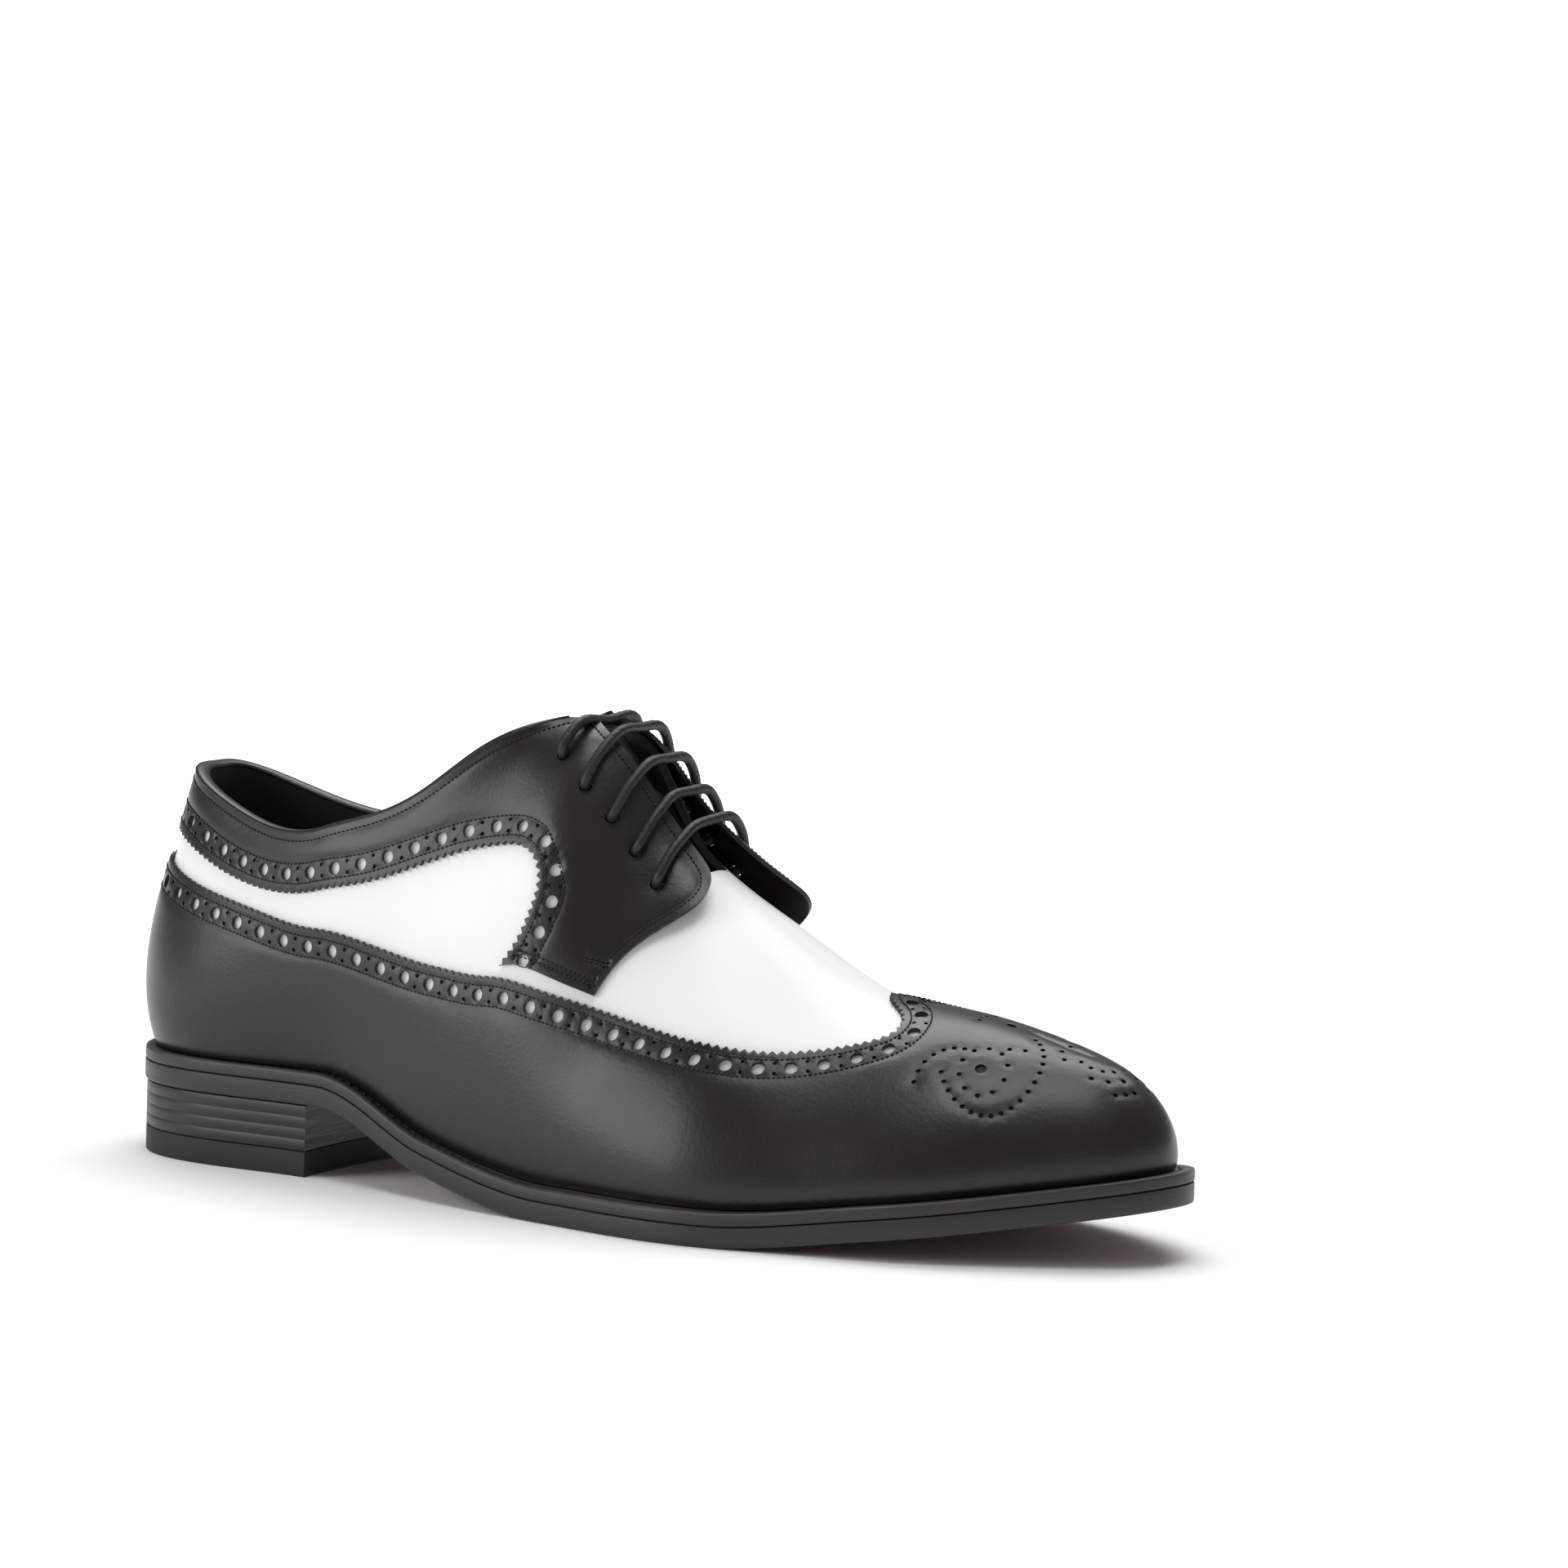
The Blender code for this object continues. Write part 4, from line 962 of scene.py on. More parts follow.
    def gaps(self, flat: Curve, row: Curve) -> np.ndarray:
        """Return each point's distance to a sewn row."""
        tree = KDTree(len(row))
        for number, place in enumerate(self.last.surface(row)):
            tree.insert(place, number)
        tree.balance()
        return np.array([tree.find(place)[2] for place in self.last.surface(flat)])

    @staticmethod
    def weld(points: np.ndarray) -> np.ndarray:
        """Return for each point the number of the point that it is joined to."""
        tree = KDTree(len(points))
        for number, place in enumerate(points):
            tree.insert(place, number)
        tree.balance()
        merged = np.arange(len(points))
        for number, place in enumerate(points):
            if merged[number] == number:
                for _, other, _ in tree.find_range(place, 0.01 * MM):
                    merged[other] = min(merged[other], number)
        return merged


def closed(*runs: Curve) -> Curve:
    """Return one closed outline of runs that follow each other, without doubled points."""
    points = np.vstack(runs)
    gaps = np.linalg.norm((points - np.roll(points, 1, axis=0)) * [1.0, 0.3], axis=1)
    return points[gaps > 2e-6]


@dataclass
class Bottom:
    """Outsole, welt, heel and insole.

    Args:
        last: the last.
        places: how many points go round the sole.
    """

    last: Last
    places: int = 480
    chamfer: float = 0.6 * MM
    groove_in: float = 3.3 * MM
    groove_depth: float = 0.7 * MM
    top_piece: float = 6.5 * MM
    lift_height: float = 2.9 * MM
    breast: float = 2.5 * MM
    insole_rise: float = 1.5 * MM
    wall: float = 2.0 * MM
    gap: float = 0.3 * MM

    def bands(self, count: int, rings: int, ring: bool) -> list:
        """Return the quads between rings of points, each ring outside or above the one before."""
        pairs = [(r, r + 1) for r in range(rings - 1)] + ([(rings - 1, 0)] if ring else [])
        return [(low * count + i, low * count + (i + 1) % count, high * count + (i + 1) % count,
                 high * count + i) for low, high in pairs for i in range(count)]

    def caps(self, count: int, rings: int) -> list:
        """Return strips across the shoe that close the lowest and the highest ring."""
        middle, top = count // 2, (rings - 1) * count
        strips = [(0, 1, count - 1), (middle - 1, middle, middle + 1)]
        strips += [(i, i + 1, count - i - 1, count - i) for i in range(1, middle - 1)]
        return [tuple(k + top for k in strip) for strip in strips] + [strip[::-1] for strip in strips]

    def round_sole(self, name: str, profile: list, sealed: bool, slot: str, materials: list,
                   *nodes: str) -> bpy.types.Object:
        """Make a piece by taking a profile round the sole.

        Args:
            name: the piece's name.
            profile: depth, level and wear of each ring, from the lowest to the highest.
            sealed: whether flat caps close it; otherwise the profile closes on itself.
            slot: the record's slot; not used.
            materials: the edge's material, and the caps'.
            nodes: the CAD nodes that it stands for.
        """
        places = np.linspace(0, 2, self.places, endpoint=False)
        rings = [self.last.ring(places, depth(places) if callable(depth) else depth, level)
                 for depth, level, _ in profile]
        faces = self.bands(self.places, len(rings), not sealed)
        caps = self.caps(self.places, len(rings)) if sealed else []
        which = np.r_[np.zeros(len(faces)), np.ones(len(caps))] if len(materials) > 1 else None
        piece = Piece(name, np.vstack(rings), faces + caps, materials, which)
        thing = piece.place(slot, *nodes)
        run = places * self.last.half_length
        corners = [[level, 0.0 if callable(depth) else depth] for depth, level, _ in profile]
        rise = run_length(np.array(corners))
        flat = np.vstack([np.stack([run, np.full(self.places, v)], axis=1) for v in rise])
        wear = np.repeat([row[2] for row in profile], self.places)
        edge_map(thing, flat, wear)
        return thing

    def make_outsole(self, edge: bpy.types.Material, grain: bpy.types.Material) -> None:
        """Make the outsole with softened edges."""
        top, c = self.last.outsole, self.chamfer
        profile = [(c + 0.2 * MM, 0.0, 0.2), (c, 0.02 * MM, 0.3), (0.4 * c, 0.25 * c, 0.5),
                   (0.1 * c, 0.7 * c, 0.3), (0.0, 1.4 * c, 0.1), (0.0, top - 0.6 * c, 0.1),
                   (0.12 * c, top - 0.2 * c, 0.2), (0.5 * c, top, 0.2)]
        self.round_sole("outsole_leather", profile, True, "sole_leather", [edge, grain], "outsole")

    def make_welt(self, edge: bpy.types.Material) -> None:
        """Make the welt, with the groove that its stitches lie in."""
        low = self.last.outsole + self.gap
        high = self.last.outsole + self.last.welt
        c, g, d = self.chamfer, self.groove_in, self.groove_depth
        inner = lambda places: self.last.margin(places) + self.wall
        foot = lambda places: self.last.margin(places) - 0.6 * MM
        profile = [(0.35 * c, low, 0.1), (0.05 * c, low + 0.4 * c, 0.1), (0.0, low + 0.9 * c, 0.1),
                   (0.0, high - 1.2 * c, 0.3), (0.3 * c, high - 0.35 * c, 0.9), (c, high, 1.0),
                   (1.8 * c, high, 0.8), (g - 0.8 * MM, high - 0.02 * MM, 0.2),
                   (g - 0.45 * MM, high - 0.4 * d, 0.0), (g, high - d, 0.0),
                   (g + 0.45 * MM, high - 0.4 * d, 0.0), (g + 0.8 * MM, high, 0.2),
                   (foot, high, 0.0), (inner, high, 0.0), (inner, low, 0.0)]
        self.round_sole("welt_strip", profile, False, "sole_leather", [edge], "welt")

    def make_insole(self, lining: bpy.types.Material) -> None:
        """Make the insole with its sock, a little raised."""
        rim = lambda places: self.last.margin(places) + self.wall + self.gap
        inner = lambda places: self.last.margin(places) + self.wall + 3 * MM
        low, high = self.last.outsole + self.gap, self.last.outsole + self.last.welt + self.insole_rise
        profile = [(rim, low, 0.0), (rim, high - 0.6 * MM, 0.0), (inner, high, 0.0)]
        self.round_sole("insole_sock", profile, True, "lining", [lining], "insole")

    def heel_outline(self, inset: float) -> tuple[np.ndarray, np.ndarray]:
        """Return the heel's plan outline with its hollow breast, counter-clockwise."""
        last = self.last
        half = np.linspace(0, 1, self.places // 2 + 1)
        front = np.interp(last.heel_length, last.outline_x(half), half)
        places = np.linspace(-front, front, 180)
        x, y = last.inset(places, inset)
        breast = np.linspace(y[-1], y[0], 26)[1:-1]
        middle, reach = (y[0] + y[-1]) / 2, (y[0] - y[-1]) / 2
        hollow = x[-1] - self.breast * (1 - ((breast - middle) / reach) ** 2)
        return np.r_[x, hollow] - last.heel_length / 2, np.r_[y, breast]

    def heel_part(self, name: str, levels: list, slot: str, made: bpy.types.Material, node: str) -> None:
        """Make a part of the heel.

        Args:
            name: the piece's name.
            levels: inset, height and wear of each ring.
            slot: the record's slot; not used.
            made: its material.
            node: the CAD node that it stands for.
        """
        rings, flats = [], []
        for inset, level, _ in levels:
            x, y = self.heel_outline(inset)
            rings.append(np.stack([x, y, np.full(len(x), level)], axis=1))
            flats.append(np.stack([run_length(rings[-1]), np.full(len(x), level)], axis=1))
        count = len(rings[0])
        faces = self.bands(count, len(rings), False)
        faces.append(tuple(range((len(rings) - 1) * count, len(rings) * count)))
        faces.append(tuple(range(count - 1, -1, -1)))
        thing = Piece(name, np.vstack(rings), faces, [made], sharp=0.7).place(slot, node)
        edge_map(thing, np.vstack(flats), np.repeat([row[2] for row in levels], count))

    def make_heel(self, edge: bpy.types.Material, rubber: bpy.types.Material) -> None:
        """Make the stacked heel and its top piece."""
        c = self.chamfer
        top = self.top_piece
        levels = [(1.5 * c, 0.0, 0.3), (1.1 * c, 0.25 * c, 0.4), (c, 0.8 * c, 0.1),
                  (c, top - 0.2 * MM, 0.0), (1.15 * c, top, 0.0)]
        self.heel_part("heel_top_rubber", levels, "top_piece", rubber, "heel_top_piece")
        low, high = top + self.gap, self.last.heel_height - self.gap
        count = int(round((high - low) / self.lift_height))
        levels = [(1.15 * c, low, 0.0)]
        for i in range(count):
            start, end = (low + (high - low) * (i + k) / count for k in (0, 1))
            levels += [(c, start + 0.12 * MM, 0.0), (c, end - 0.12 * MM, 0.0), (1.15 * c, end, 0.0)]
        self.heel_part("heel_lifts", levels, "sole_leather", edge, "heel_stack")


@dataclass
class Upper:
    """Shell, wing, quarters, tongue and topline, with their sewn rows and punched holes.

    Args:
        last: the last.
        sizes: see the fields, in metres.
    """

    last: Last
    wall: float = 2.0 * MM
    gap: float = 0.3 * MM
    leather: float = 1.3 * MM
    tooth: float = 2.3 * MM
    notch: float = 1.1 * MM
    row_in: float = 2.5 * MM
    holes_in: float = 5.0 * MM
    second_in: float = 7.6 * MM
    hole: float = 3.4 * MM
    hole_pitch: float = 8.1 * MM
    pin: float = 1.1 * MM
    pin_apart: float = 2.9 * MM
    eyelet: float = 3.4 * MM
    stitch_in: float = 2.2 * MM
    off_ridge: float = 0.9
    ornament_gap: float = 2.2
    rows: dict = field(default_factory=dict)
    shade_discs: list = field(default_factory=list)

    def wing_edge(self) -> Curve:
        """Return the wing's top edge on the outer side, from the heel back to the peak."""
        edge = self.last.trace(WING_SIDE)
        edge[-1, 1] = 1.0
        return edge

    def punched(self, path: Curve, first: float) -> tuple[list, list]:
        """Return the centres of a brogue row's holes and pins.

        Args:
            path: the row's middle line.
            first: where its first hole lies along it.
        """
        run = run_length(self.last.surface(path))
        count = int((run[-1] - first) / self.hole_pitch)
        pitch = (run[-1] - first - 0.5 * self.hole_pitch) / count
        place = lambda s: np.array([np.interp(s, run, path[:, k]) for k in (0, 1)])
        holes = [place(first + i * pitch) for i in range(count + 1)]
        pins = []
        for i in range(count):
            middle = np.array([place(first + (i + 0.5 + k) * pitch) for k in (-0.05, 0.0, 0.05)])
            for shift in (-self.pin_apart / 2, self.pin_apart / 2):
                pins.append(self.last.beside(middle, shift, steps=1)[1])
        return holes, pins

    def tack(self, front: Curve) -> list:
        """Return the rows of the short seam that holds the facing's foot down."""
        end = front[np.argmin(abs(front[:, 1] - 0.512) + (front[:, 0] < 0.45))]
        return [("end", end[0] - 0.005, end[1]), ("start", end[0] - 0.024, end[1] - 0.026)]

    def within(self, line: Curve, outline: Curve) -> list:
        """Return the stretches of a sewn row that lie inside an outline, clear of its edge."""
        last = self.last
        good = inside(outline, line)
        rim = last.surface(outline)
        good &= np.array([np.linalg.norm(rim - p, axis=1).min() for p in last.surface(line)]) > 1.0 * MM
        ends = np.flatnonzero(np.diff(np.r_[False, good, False].astype(int)))
        return [line[a:b] for a, b in zip(ends[::2], ends[1::2]) if b - a > 4]

    def outline_holes(self, holes: list, diameter: float, sides: int) -> list:
        """Return the outlines of round holes."""
        return [self.last.hole(centre, diameter, sides) for centre in holes]

    def make_shell(self, white: bpy.types.Material, lining: bpy.types.Material) -> None:
        """Make the white shell, open at collar, throat and underneath, with its black lining."""
        last = self.last
        slot = last.trace(SHELL_TOP)
        slot[0, 1] = slot[-1, 1] = 1.0
        outer = last.even(slot, 1.2 * MM)
        inner = Side.INNER.turn(outer)
        foot = np.stack([np.linspace(0, 2, 361), np.zeros(361)], axis=1)
        back = np.stack([np.zeros(40), np.linspace(0, 1, 42)[1:-1]], axis=1)
        top = np.stack([np.linspace(0, outer[0, 0], 80), np.ones(80)], axis=1)
        ridge = np.stack([np.linspace(outer[-1, 0], inner[-1, 0], 161), np.ones(161)], axis=1)
        outline = closed(foot, Side.INNER.turn(back), Side.INNER.turn(top), inner, ridge[::-1], outer[::-1],
                         top[::-1], back[::-1])
        eyelets = [Side.turn(side, self.last.hole((place, rise), self.eyelet, 14))
                   for side in Side for _, place, rise, through in EYELETS if through]
        panel = Panel(last, "white_shell", [outline, *eyelets], -self.wall, 0.0, cell=2.2 * MM)
        edge = np.vstack([top, outer])
        edge = edge[edge[:, 0] < 0.52]
        edge = np.vstack([edge, Side.INNER.turn(edge)])

        # Painted shade: the grain side within 5 mm of the top edge takes the black lining, as the lining's
        # own colour at the collar and as painted shade under the facings at the throat.
        def dark(flat: Curve) -> np.ndarray:
            return panel.gaps(flat, edge) < 5 * MM

        panel.build(white, lining, dark).place("white_calf", "upper")

    def make_wing(self, black: bpy.types.Material) -> None:
        """Make the wing with gimped edge, brogueing and its sewn rows."""
        last = self.last
        edge = self.wing_edge()
        toothed = last.gimped(edge, self.tooth, self.notch)
        toothed[-1] = edge[-1]
        toothed[0] = edge[0]
        high = last.parallel(edge, -self.row_in, to_ridge=True)
        middle = last.parallel(edge, -self.holes_in, to_ridge=True)
        low = last.parallel(edge, -self.second_in, to_ridge=True)
        holes, pins = self.punched(middle, 0.5 * self.hole_pitch)
        foot = np.stack([np.linspace(0, 2, 361), np.zeros(361)], axis=1)
        back = np.stack([np.zeros(30), np.linspace(0, edge[0, 1], 32)[1:-1]], axis=1)
        ridge = np.stack([np.linspace(edge[-1, 0], 2 - edge[-1, 0], 121), np.ones(121)], axis=1)
        inner = Side.INNER.turn(toothed)
        outline = closed(foot, Side.INNER.turn(back), inner, ridge[::-1], toothed[::-1], back[::-1])
        cuts = []
        for side in Side:
            cuts += [side.turn(cut) for cut in self.outline_holes(holes, self.hole, 16)]
            cuts += [side.turn(cut) for cut in self.outline_holes(pins, self.pin, 6)]
            # Pin holes get dark discs of painted shade over the white shell under them
            self.shade_discs += [(centre, self.pin, False) for centre in side.turn(np.array(pins))]
        for centre, size in self.medallion():
            cut = last.hole(centre, size, 10)
            cut[:, 1] = np.minimum(cut[:, 1], 1)
            cuts += [side.turn(cut) for side in Side]
            # Ornament holes get the same dark discs of painted shade
            self.shade_discs += [(side.turn(centre[None])[0], size, False) for side in Side]
        rows = [side.turn(row) for side in Side for row in (high, low)]
        self.rows["wing"] = (rows, self.gap + self.leather, False)
        panel = Panel(last, "wing_cap", [outline, *cuts], self.gap, self.gap + self.leather, rows)
        panel.build(black, black).place("black_calf", "wing")

    def on_toe(self, along: float, across: float) -> np.ndarray:
        """Return the place and rise of a point of the toe.

        Args:
            along: distance from the heel back, in millimetres.
            across: distance out from the ridge over the surface, in millimetres.
        """
        last = self.last
        flat = np.array([[0.856, 0.9]])
        for _ in range(30):
            here = last.surface(flat)[0]
            ridge = last.surface(np.array([[flat[0, 0], 1.0]]))[0]
            miss_x = along * MM - last.heel_length / 2 - here[0]
            miss_y = (ridge[1] - here[1]) - across * MM
            flat = last.move(flat, np.array([[miss_x * 0.7, miss_y * 0.7, 0.0]]))
            flat = np.clip(flat, [0.6, 0.2], [1.05, 0.9995])
        return flat[0] if across else np.array([flat[0, 0], 1.0])

    def medallion(self) -> list:
        """Return the centre and the size of each hole of the ornament's outer half."""
        spots = []
        for _, along, across, radius, start, turn, count, size in MEDALLION:
            for k in range(count):
                angle = np.radians(start + turn * k / max(count - 1, 1))
                spot = np.array([along + radius * np.cos(angle), across + radius * np.sin(angle)])
                spot[1] = spot[1] if spot[1] > self.off_ridge else 0.0
                if all(np.linalg.norm(spot - other) > self.ornament_gap for other, _ in spots):
                    spots.append((spot, size * MM))
        return [(self.on_toe(*spot), size) for spot, size in spots]

    def make_quarter(self, side: Side, black: bpy.types.Material, node: str) -> None:
        """Make one quarter: facing, eyelets and collar band."""
        last = self.last
        seam = self.gap / (2 * last.half_length)
        reach = last.inner_flap_reach if side is Side.INNER else 0.0
        front, foot, loop = (
            last.trace([(name, place + reach * share, rise) for name, place, rise, share in rows])
            for rows in (FACING_FRONT, TAB_FOOT, COLLAR_LOOP))
        front[0, 1] = 1.0
        loop[:, 0] = np.maximum(loop[:, 0], seam)
        toothed = last.gimped(loop, self.tooth, self.notch)
        toothed[:, 0] = np.maximum(toothed[:, 0], seam)
        top = np.stack([np.linspace(seam, front[0, 0], 110), np.ones(110)], axis=1)
        back = np.stack([np.full(14, seam), np.linspace(loop[-1, 1], 1, 16)[1:-1]], axis=1)
        outline = closed(top, last.even(front, 0.8 * MM), last.even(foot, 0.8 * MM), toothed, back)
        high = last.parallel(loop, -self.row_in)
        middle = last.parallel(loop, -self.holes_in)
        low = last.parallel(loop, -self.second_in)
        holes, pins = self.punched(middle, 0.7 * self.hole_pitch)
        topline = np.stack([np.linspace(0.004, front[0, 0], 300), np.full(300, 0.9995)], axis=1)
        collar = last.parallel(np.vstack([topline, front[1:]]), -self.stitch_in)
        tab = last.parallel(foot, -self.stitch_in)
        tab_second = last.parallel(foot, -self.stitch_in - 1.3 * MM)
        tack = last.trace(self.tack(front))
        rows = [side.turn(row) for line in (high, low, collar, tab, tab_second, tack,
                                            last.parallel(tack, 1.0 * MM))
                for row in self.within(line, outline)]
        cuts = [side.turn(cut) for cut in self.outline_holes(holes, self.hole, 16)]
        cuts += [side.turn(cut) for cut in self.outline_holes(pins, self.pin, 6)]
        cuts += [side.turn(last.hole((place, rise), self.eyelet, 14)) for _, place, rise, _ in EYELETS]
        # Pin holes get dark discs of painted shade over the white shell under them
        self.shade_discs += [(centre, self.pin, True) for centre in side.turn(np.array(pins))]
        self.rows[side.value] = (rows, self.gap + self.leather, True)
        panel = Panel(last, f"{side.value}_facing_and_collar", [side.turn(outline), *cuts], self.gap,
                      self.gap + self.leather, rows, lifted=True)
        panel.build(black, black).place("black_calf", node)

    def make_tongue(self, black: bpy.types.Material) -> None:
        """Make the tongue, sunk to leave room for the lace under the facings."""
        last = self.last
        side = last.trace(TONGUE_SIDE[1:-1])
        tip = np.stack([np.full(24, last.throat), np.linspace(1.0, TONGUE_SIDE[1][2], 24)], axis=1)
        foot = np.linspace(side[-1], TONGUE_SIDE[-1][1:], 24)
        ridge = np.stack([np.linspace(TONGUE_SIDE[-1][1], last.throat, 40), np.ones(40)], axis=1)
        outline = closed(tip, side, foot, ridge)
        low = -self.wall - self.gap - 1.6 * MM
        sunk = lambda flat: -3.0 * MM * ease((np.minimum(flat[:, 0], 2 - flat[:, 0]) - 0.425) / 0.03)
        panel = Panel(last, "tongue_leather", [outline, Side.INNER.turn(outline)], low, low + 1.6 * MM,
                      hug=sunk)
        panel.build(black, black).place("black_calf", "tongue")

    def make_topline(self, black: bpy.types.Material) -> None:
        """Make the folded edge that closes the collar over the lining."""
        last = self.last
        reach = 0.414
        places = np.linspace(-reach, reach, 420)
        flat = np.stack([places, np.ones(len(places))], axis=1)
        normal = last.normal(flat)
        along = unit(np.gradient(last.surface(flat), axis=0))
        up = unit(np.cross(normal, along))
        up *= np.sign(up[:, 2:3])
        high, low = self.gap + self.leather + 0.05 * MM, -self.wall - 0.25 * MM
        centre = last.point(flat, (high + low) / 2)
        turn = np.linspace(0, WHOLE_TURN, 14, endpoint=False)
        rings = [centre + normal * (high - low) / 2 * np.cos(t) + up * (0.9 * MM * np.sin(t)) for t in turn]
        points = np.stack(rings, axis=1).reshape(-1, 3)
        faces = tube_faces(len(places), len(turn))
        thing = Piece("topline_fold", points, faces, [black]).place("black_calf")
        shape = bmesh.new()
        shape.from_mesh(thing.data)
        bmesh.ops.recalc_face_normals(shape, faces=shape.faces)
        shape.to_mesh(thing.data)
        shape.free()


@dataclass
class Sewing:
    """Stitches and the dark discs of painted shade in small holes, laid by Geometry Nodes.

    Args:
        last: the last.
        pitch, length, width: sizes of a stitch.
        shade_disc_share: radius of a hole's dark disc of painted shade, as a share of the hole's diameter.
    """

    last: Last
    pitch: float = 1.3 * MM
    length: float = 1.05 * MM
    width: float = 0.5 * MM
    shade_disc_share: float = 0.55

    def tree(self, name: str, numbers: dict) -> tuple[bpy.types.NodeTree, bpy.types.Node, bpy.types.Node]:
        """Return a new geometry tree with its inputs and outputs.

        Args:
            name: the tree's name.
            numbers: the number inputs and their values.
        """
        tree = bpy.data.node_groups.new(name, "GeometryNodeTree")
        face = tree.interface
        face.new_socket("Geometry", in_out="INPUT", socket_type="NodeSocketGeometry")
        for label, value in numbers.items():
            face.new_socket(label, in_out="INPUT", socket_type="NodeSocketFloat").default_value = value
        face.new_socket("Material", in_out="INPUT", socket_type="NodeSocketMaterial")
        face.new_socket("Geometry", in_out="OUTPUT", socket_type="NodeSocketGeometry")
        return tree, add(tree, "NodeGroupInput"), add(tree, "NodeGroupOutput")

    def stitch_tree(self) -> bpy.types.NodeTree:
        """Return the tree that lays one stitch a pitch along each row."""
        numbers = {"Pitch": self.pitch, "Length": self.length, "Width": self.width, "Height": self.width}
        tree, start, end = self.tree("sewn_row", numbers)
        given = start.outputs
        line = add(tree, "GeometryNodeMeshToCurve", {"Mesh": given["Geometry"]})
        even = add(tree, "GeometryNodeResampleCurve", {"Curve": line.outputs[0], "Length": given["Pitch"]},
                   mode="LENGTH")
        facing = add(tree, "GeometryNodeInputNamedAttribute", {"Name": "facing"}, data_type="FLOAT_VECTOR")
        along = add(tree, "GeometryNodeInputTangent")
        upright = add(tree, "FunctionNodeAlignRotationToVector", {"Vector": facing.outputs[0]}, axis="Z")
        turned = add(tree, "FunctionNodeAlignRotationToVector", {
            "Rotation": upright.outputs[0], "Vector": along.outputs[0]}, axis="X", pivot_axis="Z")
        thread = add(tree, "GeometryNodeMeshUVSphere", {"Segments": 6, "Rings": 4, "Radius": 0.5})
        size = add(tree, "ShaderNodeCombineXYZ", {
            0: given["Length"], 1: given["Width"], 2: given["Height"]})
        laid = add(tree, "GeometryNodeInstanceOnPoints", {
            "Points": even.outputs[0], "Instance": thread.outputs[0], "Rotation": turned.outputs[0],
            "Scale": size.outputs[0]})
        real = add(tree, "GeometryNodeRealizeInstances", {0: laid.outputs[0]})
        soft = add(tree, "GeometryNodeSetShadeSmooth", {0: real.outputs[0]})
        worn = add(tree, "GeometryNodeSetMaterial", {0: soft.outputs[0], "Material": given["Material"]})
        tree.links.new(worn.outputs[0], end.inputs[0])
        return tree

    def shade_disc_tree(self) -> bpy.types.NodeTree:
        """Return the tree that puts a dark disc of painted shade at the bottom of each small hole, over the
        white under it.
        """
        tree, start, end = self.tree("pin_hole_shade_discs", {"Radius": self.shade_disc_share})
        facing = add(tree, "GeometryNodeInputNamedAttribute", {"Name": "facing"}, data_type="FLOAT_VECTOR")
        size = add(tree, "GeometryNodeInputNamedAttribute", {"Name": "size"}, data_type="FLOAT")
        upright = add(tree, "FunctionNodeAlignRotationToVector", {"Vector": facing.outputs[0]}, axis="Z")
        disc = add(tree, "GeometryNodeMeshCircle", {"Vertices": 8, "Radius": start.outputs["Radius"]},
                   fill_type="NGON")
        laid = add(tree, "GeometryNodeInstanceOnPoints", {
            "Points": start.outputs["Geometry"], "Instance": disc.outputs[0],
            "Rotation": upright.outputs[0], "Scale": size.outputs[0]})
        real = add(tree, "GeometryNodeRealizeInstances", {0: laid.outputs[0]})
        worn = add(tree, "GeometryNodeSetMaterial", {
            0: real.outputs[0], "Material": start.outputs["Material"]})
        tree.links.new(worn.outputs[0], end.inputs[0])
        return tree

    def run(self, name: str, points: np.ndarray, edges: list, facing: np.ndarray, tree: bpy.types.NodeTree,
            values: dict, slot: str, size: np.ndarray | None = None) -> None:
        """Run a tree on points and keep the result as a plain mesh.

        Args:
            name: the piece's name.
            points, edges: the rows.
            facing: the leather's outward direction at each point.
            tree: the tree.
            values: its inputs, by name.
            slot: the record's slot; not used.
            size: the size of each point's instance, or None.
        """
        mesh = bpy.data.meshes.new(name + "_rows")
        mesh.from_pydata([tuple(p) for p in points], edges, [])
        mesh.attributes.new("facing", "FLOAT_VECTOR", "POINT").data.foreach_set(
            "vector", facing.astype(np.float32).ravel())
        if size is not None:
            mesh.attributes.new("size", "FLOAT", "POINT").data.foreach_set("value", size.astype(np.float32))
        rows = bpy.data.objects.new(name + "_rows", mesh)
        bpy.context.scene.collection.objects.link(rows)
        modifier = rows.modifiers.new(name, "NODES")
        modifier.node_group = tree
        for socket in tree.interface.items_tree:
            if socket.in_out == "INPUT" and socket.name in values:
                modifier[socket.identifier] = values[socket.name]
        bpy.context.view_layer.update()
        graph = bpy.context.evaluated_depsgraph_get()
        plain = bpy.data.meshes.new_from_object(rows.evaluated_get(graph), depsgraph=graph)
        bpy.data.objects.remove(rows)
        plain.name = name
        for attribute in ("facing", "size"):
            if attribute in plain.attributes:
                plain.attributes.remove(plain.attributes[attribute])
        thing = bpy.data.objects.new(name, plain)
        bpy.context.scene.collection.objects.link(thing)
        settle(thing, slot)

    def sew(self, upper: Upper, thread: bpy.types.Material, slot: str = "black_calf") -> None:
        """Sew every row of the upper."""
        tree = self.stitch_tree()
        for name, (rows, over, lifted) in upper.rows.items():
            points, edges, facing = [], [], []
            for row in rows:
                start = sum(len(p) for p in points)
                lift = self.last.lift(row) if lifted else 0.0
                points.append(self.last.point(row, over + lift - 0.12 * MM))
                facing.append(self.last.normal(row))
                edges += [(start + k, start + k + 1) for k in range(len(row) - 1)]
            self.run(f"stitches_{name}", np.vstack(points), edges, np.vstack(facing), tree,
                     {"Pitch": self.pitch, "Length": self.length, "Width": self.width,
                      "Height": self.width, "Material": thread}, slot)

